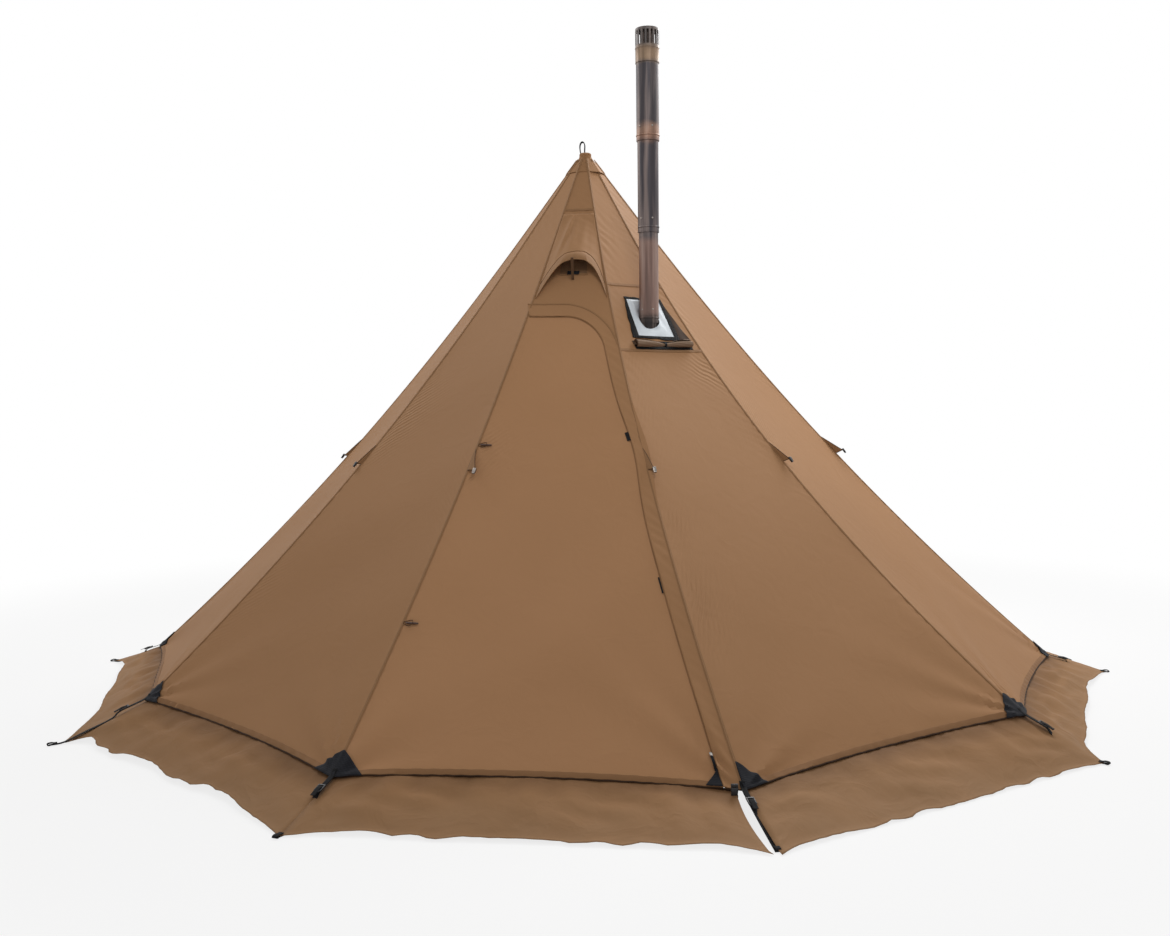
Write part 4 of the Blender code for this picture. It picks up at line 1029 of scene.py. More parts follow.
def band(name, centre, normal, width, height, material, body="root"):
    """Lay a raised band along a line of points, whose normals say which way is out."""
    normal = np.broadcast_to(normal, centre.shape)
    across = unit(np.cross(np.gradient(centre, axis=0), normal))
    shares = np.array((-0.5, -0.46, -0.2, 0.2, 0.46, 0.5)) * width
    lifts = np.array((0.0, 0.9, 1.0, 1.0, 0.9, 0.0)) * height
    points = (centre[:, None] + across[:, None] * shares[None, :, None]
              + normal[:, None] * lifts[None, :, None])
    return make_sheet(name, points, material, body=body)


def strap(name, path, side, width, thickness, material, body="root"):
    """Make a flat strap along a path; side is the level direction of its width."""
    offsets = np.linspace(-0.5, 0.5, 5) * width
    points = path[:, None] + side * offsets[None, :, None]
    return make_sheet(name, points, material, thickness=thickness, body=body, offset=0.0, sharp=50.0)


def lathe(name, profile, centre, material, axis=UP, sides=64, body="root", sharp=40.0):
    """Turn a profile of (radius, height) about an axis."""
    axis = unit(np.asarray(axis, float))
    aside = unit(np.cross(axis, (0.31, 0.77, 0.56)))
    around = np.cross(axis, aside)
    angle = TAU * np.arange(sides) / sides
    ring = np.cos(angle)[:, None] * aside + np.sin(angle)[:, None] * around
    profile = np.array(profile, float)
    points = (np.asarray(centre, float) + profile[:, None, :1] * ring[None]
              + profile[:, None, 1:] * axis)
    return make_sheet(name, points, material, wrap=True, body=body, sharp=sharp)


def frame_at(origin, across, along):
    """Return the matrix of a frame from its origin and two directions at right angles."""
    out = np.cross(across, along)
    return Matrix([[*row, place] for row, place in zip(np.stack([across, along, out], 1).tolist(), origin)]
                  + [[0.0, 0.0, 0.0, 1.0]])


def fitting(name, bars, place, material, body, bevel=0.0012):
    """Join rounded bars into one moulded fitting; each bar is its centre and its size."""
    bm = bmesh.new()
    for centre, size in bars:
        corners = bmesh.ops.create_cube(bm, size=1.0)["verts"]
        bmesh.ops.scale(bm, vec=size, verts=corners)
        bmesh.ops.translate(bm, vec=centre, verts=corners)
    bmesh.ops.bevel(bm, geom=bm.edges[:], offset=bevel, segments=3, profile=0.5, affect="EDGES")
    bmesh.ops.transform(bm, matrix=place, verts=bm.verts)
    mesh = bpy.data.meshes.new(name)
    bm.to_mesh(mesh)
    bm.free()
    mesh.materials.append(material)
    mesh.shade_smooth()
    thing = bpy.data.objects.new(name, mesh)
    bpy.context.scene.collection.objects.link(thing)
    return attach(thing, body)


def finish_solid(name, material):
    """Give a solid that stays in view one of the tent's finishes."""
    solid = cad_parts[name]
    solid.data.materials.clear()
    solid.data.materials.append(MATERIALS[material])


def across_ridge(corner, offset, height, lift=0.0):
    """Return a place on the cloth so far right of a ridge, or left where offset is negative."""
    offset, height = np.broadcast_arrays(np.asarray(offset, float), np.asarray(height, float))
    left = cloth_point(corner, 1 + np.minimum(offset, 0.0) / panel_width(corner, height), height)
    right = cloth_point(corner + 1, np.maximum(offset, 0.0) / panel_width(corner + 1, height), height)
    turn = np.clip(0.5 + offset / RIDGE_ROUND, 0.0, 1.0)[..., None]
    normal = unit(panel_normal(corner, height) * (1 - turn) + panel_normal(corner + 1, height) * turn)
    return np.where(offset[..., None] < 0, left, right) + normal * np.asarray(lift, float)[..., None]


def hem_near(corner, offset):
    """Return the hem's height so far right of a corner, or left where offset is negative."""
    width = 2 * CORNER_RADIUS * math.sin(HALF_STEP)
    left = hem_height(corner, 1 + np.minimum(offset, 0.0) / width)
    return np.where(offset < 0, left, hem_height(corner + 1, np.maximum(offset, 0.0) / width))


def make_ridge_seams():
    """A felled seam down each ridge, raised where it passes over the cap's rim."""
    offsets = np.array((-0.5, -0.46, -0.1, 0.0, 0.1, 0.46, 0.5)) * SEAM_WIDTH
    lifts = np.array((0.0004, 0.0018, 0.002, 0.0028, 0.002, 0.0018, 0.0004))
    for corner in range(SIDES):
        foot = float(hem_height(corner, 1.0))
        heights = np.linspace(foot + 0.001, 2.556, 230)[:, None]
        over = 0.0036 * np.clip((heights - NECK_HEIGHT + 0.02) / 0.012, 0.0, 1.0)
        grid = across_ridge(corner, offsets[None], heights, lifts[None] + over)
        seam = make_sheet(f"ridge_seam_{corner + 1:02d}", grid, MATERIALS["seam"])


def make_level_seams():
    """Seams across the front panel over the vent, and across the jack's panel round its band."""
    for name, panel, level in (("vent_seam", 0, VENT_SEAM), ("jack_seam_top", 1, BAND_TOP),
                               ("jack_seam_low", 1, BAND_BOTTOM)):
        share = np.linspace(0.0, 1.0, 90)
        centre = cloth_point(panel, share, np.full_like(share, level), 0.0008)
        seam = band(name, centre, panel_normal(panel, level), SEAM_WIDTH, 0.0016, MATERIALS["seam"])


def hem_grid(panel, first, last, profile, columns=90):
    """Return a profile drawn along a panel's hem from one share of its width to another."""
    share = np.linspace(first, last, columns + 1)[None, :]
    rise, lift = (np.array(part)[:, None] for part in zip(*profile))
    return cloth_point(panel, share + 0 * rise, hem_height(panel, share) + rise, lift + 0 * share)


def make_hems():
    """Brown tape over the hem and a dark rolled edge under it, its dark colour painted shadow under the hem.
    """
    for name, profile, material in (("hem_tape", HEM_PROFILE, "hem"), ("hem_shadow_edge", EDGE_PROFILE, "edge")):
        grids = [hem_grid(panel, 0.0, 1.0, profile) for panel in range(1, SIDES)]
        edge = zip_share(np.array([HEM_HEIGHT]))[0]
        strip = hem_grid(0, edge + 0.002, 1.0, profile, 8)
        whole = [strip[:, :-1]] + [grid[:, :-1] for grid in grids[:-1]] + [grids[-1]]
        tape = make_sheet(name, np.concatenate(whole, axis=1), MATERIALS[material])
        leaf = make_sheet(f"door_{name}", hem_grid(0, 0.0, edge - 0.002, profile), MATERIALS[material],
                          body=None)
        blend_door(leaf)


def make_patches():
    """Ribbed black triangles over both sides of each corner."""
    for corner in range(SIDES):
        first = 0.0 if corner == 0 else -1.0
        rise = np.linspace(0.0, 0.97, 16)[:, None]
        offset = np.linspace(first, 1.0, 17)[None, :] * PATCH_REACH * (1 - rise)
        height = hem_near(corner, offset) + rise * PATCH_RISE - PATCH_DROP
        grid = across_ridge(corner, offset, height, PATCH_LIFT)
        on_door = corner == SIDES - 1
        patch = make_sheet(f"corner_patch_{corner + 1:02d}", grid, MATERIALS["patch"],
                           thickness=PATCH_THICKNESS, body=None if on_door else "root")
        if on_door:
            blend_door(patch)
    rise = np.linspace(0.0, 0.97, 12)[:, None]
    offset = -ZIP_STRIP - 0.004 - np.linspace(0.0, 1.0, 12)[None, :] * DOOR_PATCH_REACH * (1 - rise)
    height = hem_near(0, offset) + rise * DOOR_PATCH_RISE
    patch = make_sheet("door_corner_patch", across_ridge(0, offset, height, PATCH_LIFT),
                       MATERIALS["patch"], thickness=PATCH_THICKNESS, body="door")


def zip_line(inset):
    """Return offsets from the right ridge and heights along the zip, moved into the door by inset."""
    start = DOOR_TOP - DOOR_CORNER
    centre, radius = ZIP_STRIP + DOOR_CORNER, DOOR_CORNER - inset
    turn = np.linspace(0.0, math.pi / 2, 25)[1:-1]
    far = panel_width(0, np.array(DOOR_TOP)) - 0.012
    top = np.linspace(centre, far, 60)
    up = np.linspace(HEM_HEIGHT, start, ZIP_STEPS)
    offset = np.concatenate([zip_strip(up) + inset, centre - radius * np.cos(turn), top])
    height = np.concatenate([up, start + radius * np.sin(turn), np.full(60, DOOR_TOP - inset)])
    return offset, height


def zip_place(inset, lift):
    """Return the line of places along the zip at an inset."""
    offset, level = zip_line(inset)
    share = 1 - offset / panel_width(0, level)
    return cloth_point(0, share, row_height(0, share, level), lift)


def make_storm_flap():
    """The flap over the zip: sewn along the ridge and free along the zip, with a rolled hem."""
    profile = [(-FLAP_EDGE + 0.052 * k / 9, 0.0012 + 0.003 * (k / 9) ** 2) for k in range(10)]
    profile += [(-0.0072, 0.0052), (-0.004, 0.0058), (0.0005, 0.0052), (0.0018, 0.0036),
                (0.0005, 0.0022), (-0.006, 0.0018)]
    run = np.arange(len(zip_line(0.0)[0]))
    wave = 0.0012 * np.sin(run / 3.1 + 1.5 * np.sin(run / 17.0)) + 0.001 * np.sin(run / 9.0)
    lines = []
    for inset, lift in profile:
        loose = np.clip((inset + 0.06) / 0.06, 0.0, 1.0)
        lines.append(zip_place(inset, lift + wave * loose * 0.7 + 0.0008 * loose))
    line = zip_place(-FLAP_SEAM, 0.0018)[ZIP_STEPS:]
    normal = panel_normal(0, zip_line(-FLAP_SEAM)[1][ZIP_STEPS:])
    seam = band("storm_flap_seam", line, normal, 0.007, 0.0014, MATERIALS["seam"])
    flap = make_sheet("storm_flap_cloth", np.stack(lines, 1), MATERIALS["fly"], sharp=50.0)
    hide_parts("storm_flap")


def make_zip():
    """The zip's tape on the door, its slider with a pull strip, and two tabs beside it."""
    tape = band("zip_tape_door", zip_place(ZIP_TAPE_INSET, 0.0006),
                panel_normal(0, zip_line(ZIP_TAPE_INSET)[1]), 0.006, 0.0012, MATERIALS["hem"], body=None)
    blend_door(tape)
    foot = hem_height(0, 1.0) + 0.045
    levels = np.linspace(foot, foot + 0.05, 12)
    share = 1 - (ZIP_STRIP + 0.0095) / panel_width(0, levels)
    normal = panel_normal(0, levels)
    path = cloth_point(0, share, levels, 0.0) + normal * np.linspace(0.004, 0.0105, 12)[:, None]
    place = frame_at(path[9] + normal[9] * 0.002, facing(0)[1], unit(path[11] - path[7]))
    bars = [((0, 0, 0), (0.010, 0.014, 0.006)), ((0, -0.004, 0.0035), (0.004, 0.008, 0.003))]
    slider = fitting("zip_slider_body", bars, place, MATERIALS["metal"], "zip_slider")
    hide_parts("zip_slider")
    pull = band("zip_pull_strip", path[:9] + normal[:9] * 0.002, normal[:9], 0.009, 0.002,
                MATERIALS["webbing"], "zip_slider")
    for name, height, length, inset, width in (("second_pull", 0.700, 0.052, 0.009, 0.006),
                                               ("door_hook_tab", 1.235, 0.034, 0.010, 0.016)):
        levels = np.linspace(height, height - length, 10)
        share = 1 - (zip_strip(levels) + inset) / panel_width(0, levels)
        tab = band(name, cloth_point(0, share, levels, 0.0016), panel_normal(0, levels), width, 0.0022,
                   MATERIALS["webbing"], "door")


def hood_place(across, fall, lift=0.0):
    """Return a place on the vent hood, across its panel and down from its seam to its open edge."""
    crown = 1 - (2 * across - 1) ** 2
    share = 0.03 + 0.94 * across
    arch = np.interp(across, *smooth_path(HOOD_KNOTS, 12).T)
    height = HOOD_TOP + (HOOD_SIDE + HOOD_ARCH * arch - HOOD_TOP) * fall
    fold = np.exp(-((across - 0.36 + 0.30 * fall) / 0.06) ** 2)
    fold = fold * np.sin(math.pi * np.clip(fall, 0, 1) ** 0.7)
    pucker = np.sin(26 * across + 5 * fall) * np.exp(-((fall - 0.55) / 0.3) ** 2)
    relief = crown * (HOOD_FOLD * fold + HOOD_PUCKER * pucker)
    out = HOOD_REACH * fall * crown + relief + HOOD_LIFT
    return cloth_point(0, share, height) + facing(0)[0] * (out + lift)[..., None]


def make_hood():
    """The vent's hood, with a rolled brim and a row of stitches over it."""
    across, fall = np.meshgrid(np.linspace(0.0, 1.0, HOOD_COLUMNS), np.linspace(0.0, 1.0, HOOD_ROWS))
    hood = make_sheet("vent_hood_cloth", hood_place(across, fall), MATERIALS["hood"], thickness=0.0009,
                      sharp=60.0)
    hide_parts("vent_hood")

    def row(fall, lift):
        return hood_place(across[0], np.full(HOOD_COLUMNS, fall), np.full(HOOD_COLUMNS, lift))

    hem = make_sheet("vent_hood_hem", np.stack([row(*point) for point in BRIM_PROFILE]),
                     MATERIALS["seam"], sharp=50.0)
    stitches = band("vent_hood_stitches", row(STITCH_FALL, 0.0004), facing(0)[0], 0.004, 0.0012,
                    MATERIALS["tape"])


def make_vent():
    """The netting behind the hood, its two bindings, and the stiff prop with its patch."""
    half = VENT_SHARE / 2 + 0.01
    share, level = np.meshgrid(np.linspace(0.5 - half, 0.5 + half, 25),
                               np.linspace(VENT_BOTTOM - 0.006, VENT_TOP + 0.006, 21))
    net = make_sheet("vent_netting_cloth", cloth_point(0, share, level, -0.0022), MATERIALS["net"])
    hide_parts("vent_mesh")
    for name, level in (("vent_sill_binding", VENT_BOTTOM), ("vent_head_binding", VENT_TOP)):
        run = np.linspace(0.5 - half, 0.5 + half, 20)
        place = cloth_point(0, run, np.full(20, level), 0.0006)
        band(name, place, panel_normal(0, level), 0.012, 0.0018, MATERIALS["seam"])
    level = BAND_TOP + STAY_PATCH_RISE
    run = 0.5 + np.linspace(-0.5, 0.5, 9) * STAY_PATCH_WIDTH / panel_width(0, np.array(level))
    patch = band("stay_patch", cloth_point(0, run, np.full(9, level), 0.0034), panel_normal(0, level),
                 0.022, 0.0014, MATERIALS["patch"])
    finish_solid("vent_stay", "tape")


def jack_place(offset, height, lift):
    """Return a place on the stove jack, offset from the middle of its panel."""
    share = 0.5 + offset / panel_width(1, height)
    return cloth_point(1, share, height, lift)


def quad_edges(corners, count):
    """Return the points of a ring round four corners, with so many on each side."""
    parts = []
    for first, last in zip(corners, corners[1:] + corners[:1]):
        share = np.linspace(0.0, 1.0, count, endpoint=False)[:, None]
        parts.append(np.array(first) + (np.array(last) - np.array(first)) * share)
    return np.concatenate(parts)


def make_jack():
    """The stove jack's black border, its white pad, and a dark sheet beside it that paints the shade there.
    """
    outer = quad_edges(list(JACK_OUTER), JACK_STEPS)
    inner = quad_edges(list(JACK_INNER), JACK_STEPS)
    run = np.arange(len(outer))
    wave = 0.0022 * np.sin(run / 2.6) + 0.0016 * np.sin(run / 1.1 + 1.0)
    lines = []
    for share, lift in BORDER_PROFILE:
        place = outer + (inner - outer) * share
        away = unit(outer - inner) * (wave * (1 - share))[:, None]
        across, height = (place + away).T
        lines.append(jack_place(across, height, np.full(len(run), lift)))
    border = make_sheet("jack_border", np.stack(lines), MATERIALS["binding"], wrap=True, sharp=60.0)
    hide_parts("jack_frame")
    make_pad(inner)
    # Painted shade: a flat dark brown sheet right of the border, standing in for the shade beside the jack.
    aside, drop = np.meshgrid(np.linspace(0.0, 1.0, 9), np.linspace(0.0, 1.0, 15))
    near, far = 0.116 + 0.016 * drop, 0.130 + 0.082 * drop ** 1.4
    offset, level = near + (far - near) * aside, 1.832 - 0.192 * drop
    lift = 0.0016 + 0.0012 * np.sin(90 * offset)
    shade_patch_sheet = make_sheet("jack_painted_shade", jack_place(offset, level, lift), MATERIALS["edge"])
    make_roll()


def make_pad(inner):
    """The white heatproof pad, drawn down in a short sleeve where the flue comes through."""
    centre = flue_centre()
    outward, sideways = facing(1)
    angle = np.arctan2(inner[:, 1] - FLUE_HEIGHT, inner[:, 0] - JACK_SHIFT)
    rim = jack_place(inner[:, 0], inner[:, 1], np.full(len(inner), 0.0022))
    slope = panel_normal(1, FLUE_HEIGHT)
    ring = centre + PAD_HOLE * (np.cos(angle)[:, None] * sideways - np.sin(angle)[:, None] * outward)
    ring[:, 2] = centre[2] - ((ring - centre) @ slope) / slope[2]
    ring = ring + slope * 0.004
    sleeve = centre[2] - PAD_SLEEVE + PAD_SLEEVE_SLOPE * (ring[:, 1] - centre[1])
    drawn = np.stack([ring[:, 0], ring[:, 1], sleeve], -1)
    rings = []
    for share in np.linspace(0.0, 1.0, 17):
        pull = max(1 - share / PAD_DRAWN_SHARE, 0.0) ** 1.6
        place = ring + (rim - ring) * share + (drawn - ring) * pull
        swell = 0.0016 * math.sin(math.pi * share) * np.sin(5 * angle + 3 * share)
        swell = swell + 0.006 * (1 - share) ** 6
        rings.append(place + slope * swell[:, None])
    pad = make_sheet("jack_pad", np.stack(rings), MATERIALS["heatproof"], wrap=True, thickness=0.0016)
    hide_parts("jack_heat_panel")


def make_roll():
    """The rain flap rolled up under the jack, pinched by its tie, over a dark strip of cloth."""
    level = np.array(BAND_BOTTOM + ROLL_RISE)
    across, normal = panel_across(1, level), panel_normal(1, level)
    down = -np.cross(normal, across)
    middle = jack_place(np.array(JACK_SHIFT), level, 0.0) + normal * (ROLL_RADIUS + 0.0003)
    place = np.linspace(-0.5, 0.5, 81)[:, None]
    pinch = 1.22 * (1 - 0.68 * np.exp(-np.abs(place / 0.27) ** 1.15)) - 0.1 * (2 * place) ** 8
    turn = np.linspace(0.0, ROLL_TURNS * TAU, 105)[None, :]
    grow = 0.22 + 0.78 * turn / turn.max()
    crumple = 0.05 * np.sin(3 * turn + 9 * place) + 0.04 * np.sin(7 * turn - 23 * place)
    radius = ROLL_RADIUS * pinch * (grow + crumple * grow)
    phase = turn + 0.5 * math.pi + 0.35 * np.sin(5 * place)
    line = across * (ROLL_LENGTH * place)[..., None] + down * (ROLL_RADIUS * 0.75 * (1 - pinch))[..., None]
    winding = normal * (radius * np.cos(phase))[..., None] + down * (radius * np.sin(phase))[..., None]
    roll = make_sheet("rain_flap_cloth", middle + line + winding, MATERIALS["roll"], body="rain_flap",
                      sharp=60.0)
    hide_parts("rain_flap_roll")
    offset = np.linspace(-0.152, 0.198, 40)
    strip = jack_place(offset, np.full(40, BAND_BOTTOM + 0.024), 0.0012)
    under = band("jack_flap_edge", strip, normal, 0.050, 0.002, MATERIALS["binding"])
    ring = np.linspace(0.0, TAU, 33)
    path = (middle + normal * (TIE_RADIUS * np.cos(ring))[:, None]
            + down * (TIE_RADIUS * np.sin(ring) + 0.0094)[:, None])
    tie = strap("rain_flap_tie", path, across, 0.012, 0.0012, MATERIALS["webbing"], "rain_flap")


def make_cap():
    """The cloth tip over the pole, with its hang loop of webbing."""
    height = np.concatenate([np.linspace(NECK_HEIGHT - 0.012, 2.586, 30), [2.590, 2.5925, 2.5945, 2.5955]])
    climb = np.clip((height - height[0]) / (2.586 - height[0]), 0.0, 1.0)
    tip = np.clip((climb - 0.55) / 0.45, 0.0, 1.0)
    radius = (ridge_radius(0, height) + 0.0032) * (1 - tip) + CAP_TIP * tip
    radius[-4:] = CAP_ROUND
    angle = TAU * np.arange(120) / 120
    turn = (angle + HALF_STEP) % (2 * HALF_STEP) - HALF_STEP
    square = math.cos(HALF_STEP) / np.cos(turn)
    away = radius[:, None] * (1 + (square[None] - 1) * (1 - tip)[:, None])
    away = away + 0.0009 * np.sin(30 * angle)[None] * climb[:, None]
    points = np.stack([away * np.sin(angle), -away * np.cos(angle), height[:, None] + 0 * away], -1)
    cap = make_sheet("apex_cap_cloth", points, MATERIALS["hood"], wrap=True, thickness=0.0015, sharp=60.0)
    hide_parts("apex_cap")
    loop = strap("hang_loop", smooth_path(LOOP_KNOTS), np.array((0.0, 1.0, 0.0)), LOOP_WIDTH,
                 LOOP_THICKNESS, MATERIALS["webbing"])


def section_radius(section):
    """Return a flue section's radius; each section slips over the one below."""
    return FLUE_RADIUS + FLUE_STEP * section


def section_span(section):
    """Return the heights of a flue section's lower and upper end."""
    bottom = FLUE_BOTTOM if section == 0 else FLUE_JOINT + SECTION_LENGTH * (section - 1)
    top = FLUE_JOINT + SECTION_LENGTH * section
    return bottom, top + (0.0 if section == FLUE_SECTIONS - 1 else FLUE_OVERLAP)


def tube_profile(section):
    """Return the outline of a flue section, with a rolled bead near its foot."""
    radius = section_radius(section)
    bottom, top = section_span(section)
    inner, bead = radius - FLUE_WALL, bottom + BEAD_RISE
    profile = [(inner, bottom + 0.03), (inner, bottom), (radius + 0.0004, bottom - 0.0002),
               (radius + 0.0006, bottom + 0.004)]
    for k in range(9):
        lean = math.pi * k / 8
        profile.append((radius + BEAD_DEPTH * math.sin(lean), bead - BEAD_HALF * math.cos(lean)))
    profile += [(radius, bead + 0.006)]
    profile += [(radius, bead + (top - bead) * k / 12) for k in range(1, 13)]
    return profile + [(inner, top), (inner, top - 0.03)]


def level_turn(angle):
    """Return the level direction turned so far rightward from the front."""
    return np.array((math.sin(angle), -math.cos(angle), 0.0))


def make_flue():
    """The nested flue sections, each with a lock seam, and two rivets where it slips over another."""
    centre = flue_centre()
    base = np.array((centre[0], centre[1], 0.0))
    for section in range(FLUE_SECTIONS):
        number, body = section + 1, f"flue_{section + 1}"
        radius = section_radius(section)
        bottom, top = section_span(section)
        tube = lathe(f"flue_tube_{number}", tube_profile(section), base, MATERIALS["steel"], body=body,
                     sides=96)
        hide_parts(f"flue_section_{number}")
        out = level_turn(SEAM_TURNS[section])
        rise = np.linspace(bottom + 0.035, top - 0.002, 30)[:, None]
        path = base + out * (radius + 0.0002) + rise * UP
        seam = band(f"flue_seam_{number}", path, out, 0.007, 0.0012, MATERIALS["steel"], body)
        for letter, turn in RIVET_TURNS if section else ():
            out = level_turn(turn)
            spot = base + out * (radius - 0.0004) + UP * (bottom + RIVET_RISE)
            rivet = lathe(f"flue_rivet_{number}_{letter}", RIVET_PROFILE, spot, MATERIALS["rivet"], out,
                          24, body)
    make_arrestor(base)


def make_arrestor(base):
    """The slotted spark arrestor: a cage with a lid round a sooty core."""
    radius = section_radius(FLUE_SECTIONS - 1) + 0.0023
    low = section_span(FLUE_SECTIONS - 1)[1]
    foot, slot_low = low - SLEEVE_DROP, low + RIM_HEIGHT
    slot_high = slot_low + SLOT_HEIGHT
    lid = slot_high + RIM_HEIGHT
    heights = [foot, foot + 0.002, low - 0.004, low, low + 0.004, slot_low - 0.002, slot_low,
               slot_low + 0.003, slot_high - 0.003, slot_high, slot_high + 0.002, lid - 0.004,
               lid - 0.001, lid]
    lips = [0.0006, 0.0, 0.0, 0.0018, 0.0, 0.0, 0.0, 0.0, 0.0, 0.0, 0.0, 0.0, -0.0012, -0.004]
    columns = SLOT_COUNT * 6
    angle = TAU * np.arange(columns) / columns
    ring = np.stack([np.cos(angle), np.sin(angle), 0 * angle], -1)
    points = [base + ring * (radius + lip) + UP * height for height, lip in zip(heights, lips)]
    keep = np.ones((len(heights) - 1, columns), bool)
    keep[6:9, np.arange(columns) % 6 > 2] = False
    cage = make_sheet("arrestor_cage", np.stack(points), MATERIALS["steel"], keep, wrap=True,
                      thickness=0.0012, body="arrestor", sharp=40.0)
    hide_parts("spark_arrestor")
    rim = radius - 0.003
    profile = ((rim, lid - 0.0012), (rim, lid), (radius * 0.7, lid + 0.002), (radius * 0.3, lid + 0.003),
               (0.0, lid + 0.003))
    top = lathe("arrestor_lid", profile, base, MATERIALS["steel"], body="arrestor", sides=96)
    profile = ((radius * 0.55, slot_low - 0.02), (radius * 0.55, lid - 0.002))
    core = lathe("arrestor_core", profile, base, MATERIALS["soot"], body="arrestor", sides=48)


def strap_knots(corner):
    """Return the places of a corner strap's middle line as (radius, height), top end first."""
    hem = HEM_HEIGHT * HEM_SHARES[corner]
    reach = ridge_radius(corner, hem)
    top = ridge_radius(corner, hem + STRAP_RISE)
    ground = SKIRT_RADIUS + STRAP_BEYOND
    return [(top + 0.008, hem + STRAP_RISE + 0.002), (reach + 0.009, hem + 0.002),
            (reach + (ground - reach) * 0.5, hem * 0.5 + 0.0005), (ground, 0.0028)]


def make_straps():
    """The corner straps, each with a peg loop; but for the door's, they pass under the skirt."""
    end = SKIRT_RADIUS + STRAP_BEYOND
    for corner in range(SIDES):
        knots = strap_knots(corner)
        if corner:
            (first_out, first_up), (last_out, last_up) = knots[1], knots[3]
            reach, fall = last_out - first_out, last_up - first_up
            bend = STRAP_BEND_SHARE
            over = [(first_out + reach * bend, first_up * (1 - bend) + last_up * bend)]
            under = [(first_out + reach * share, max(first_up + fall * share - STRAP_SINK, 0.001))
                     for share in STRAP_UNDER_SHARES]
            knots[2:3] = over + under
        knots += [(end + out, up) for out, up in PEG_LOOP]
        flat = smooth_path([(out, up, 0.0) for out, up in knots], 9)
        path = radial(corner) * flat[:, :1] + UP * flat[:, 1:2]
        made = strap(f"corner_webbing_{corner + 1:02d}", path, tangent(corner), STRAP_WIDTH, 0.0018,
                     MATERIALS["webbing"])
        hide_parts(f"corner_strap_{corner + 1:02d}")
        make_lock(corner)


def make_lock(corner):
    """The ladder lock on a corner strap, with the strap's free tail through it."""
    outward, sideways = radial(corner), tangent(corner)
    knots = np.array(strap_knots(corner))
    first, last = knots[1], knots[3]
    aim = (last - first) / np.linalg.norm(last - first)
    run = outward * aim[0] + UP * aim[1]
    normal = np.cross(run, sideways)
    if normal[2] < 0:
        normal = -normal
    spot = first + (last - first) * BUCKLE_PLACE_SHARE
    origin = outward * spot[0] + UP * spot[1] + normal * 0.0016
    place = frame_at(origin, np.cross(run, normal), run)
    rails = [((side * 0.0120, 0.018, 0.0032), (0.0038, 0.036, 0.0062)) for side in (-1, 1)]
    lock = fitting(f"ladder_lock_{corner + 1:02d}", rails + list(LOCK_BARS), place, MATERIALS["plastic"],
                   f"buckle_{corner + 1:02d}")
    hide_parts(f"corner_buckle_{corner + 1:02d}")
    flat = smooth_path([(along, up, 0.0) for along, up in TAIL_KNOTS], 6)
    path = origin + run * flat[:, :1] + normal * flat[:, 1:2]
    tail = strap(f"strap_tail_{corner + 1:02d}", path, sideways, STRAP_WIDTH * TAIL_SHARE, 0.0016,
                 MATERIALS["webbing"])


def guy_axes(corner):
    """Return a guy loop's root, its directions down the ridge and out from it, and the level one."""
    outward, sideways = radial(corner), tangent(corner)
    high = np.array(WAIST_HEIGHT + GUY_RISE)
    first, last = ridge_point(corner, high), ridge_point(corner, high - GUY_LENGTH)
    run = unit(last - first)
    out = np.cross(sideways, run)
    out = out if out @ outward > 0 else -out
    return first, run, out, sideways


def make_guy_loops():
    """A stiff triangle of cloth on each ridge, with a bound edge and a guy line's lock at its tip."""
    along, high = np.linspace(0.0, 1.0, 19)[:, None], np.linspace(0.0, 1.0, 7)[None, :]
    for corner in range(SIDES):
        root, run, out, sideways = guy_axes(corner)
        number, body = f"{corner + 1:02d}", f"guy_{corner + 1:02d}"
        bow = 0.0016 * np.sin(5 * along + corner) * high + GUY_ASIDES[corner] * along * high
        reach = (GUY_LENGTH - 0.014 + 0.010 * high) * along
        rise = 0.0022 + GUY_OUTS[corner] * along * high
        points = root + run * reach[..., None] + out * rise[..., None] + sideways * bow[..., None]
        tab = make_sheet(f"guy_tab_{number}", points, MATERIALS["seam"], thickness=0.0014, offset=0.0,
                         body=body)
        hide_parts(f"guy_loop_{number}")
        edge = np.concatenate([points[:, -1], points[-1, -2::-1]])
        binding = strap(f"guy_edge_{number}", edge, sideways, 0.0028, 0.0024, MATERIALS["tape"], body)
        tip = points[-1, -1]
        place = frame_at(tip + out * 0.003, sideways, unit(run * 0.9 - out * 0.1))
        bars = [((0, 0.004, 0), (0.014, 0.020, 0.009)), ((0, 0.017, 0), (0.012, 0.006, 0.008))]
        kind = "metal" if corner in (0, SIDES - 1) else "plastic"
        lock = fitting(f"guy_lock_{number}", bars, place, MATERIALS[kind], body, 0.001)


def make_toggles():
    """Two toggles on the left seam, with their loops, that tie the rolled door back."""
    seam = SIDES - 1
    for number, level in enumerate(TOGGLE_HEIGHTS, 1):
        spot = across_ridge(seam, 0.012, level, 0.0075)
        aim = unit(across_ridge(seam, 0.07, level, 0.006) - spot)
        toggle = lathe(f"door_toggle_{number}", TOGGLE_PROFILE, spot, MATERIALS["toggle"], aim, 24,
                       body=None)
        blend_door(toggle)
        knots = [across_ridge(seam, aside, level + rise, lift) for aside, rise, lift in TOGGLE_LOOP]
        loop = strap(f"toggle_loop_{number}", smooth_path(knots), UP, 0.003, 0.0016, MATERIALS["tape"],
                     None)
        blend_door(loop)


def make_side_release():
    """The side release buckle at the door's free corner."""
    level = np.array(hem_height(0, 0.97) - 0.002)
    share = 1 - 0.030 / panel_width(0, level)
    place = frame_at(cloth_point(0, share, level, 0.032), facing(0)[1], -UP)
    clip = fitting("door_side_release", RELEASE_BARS, place, MATERIALS["plastic"], "door", 0.0016)


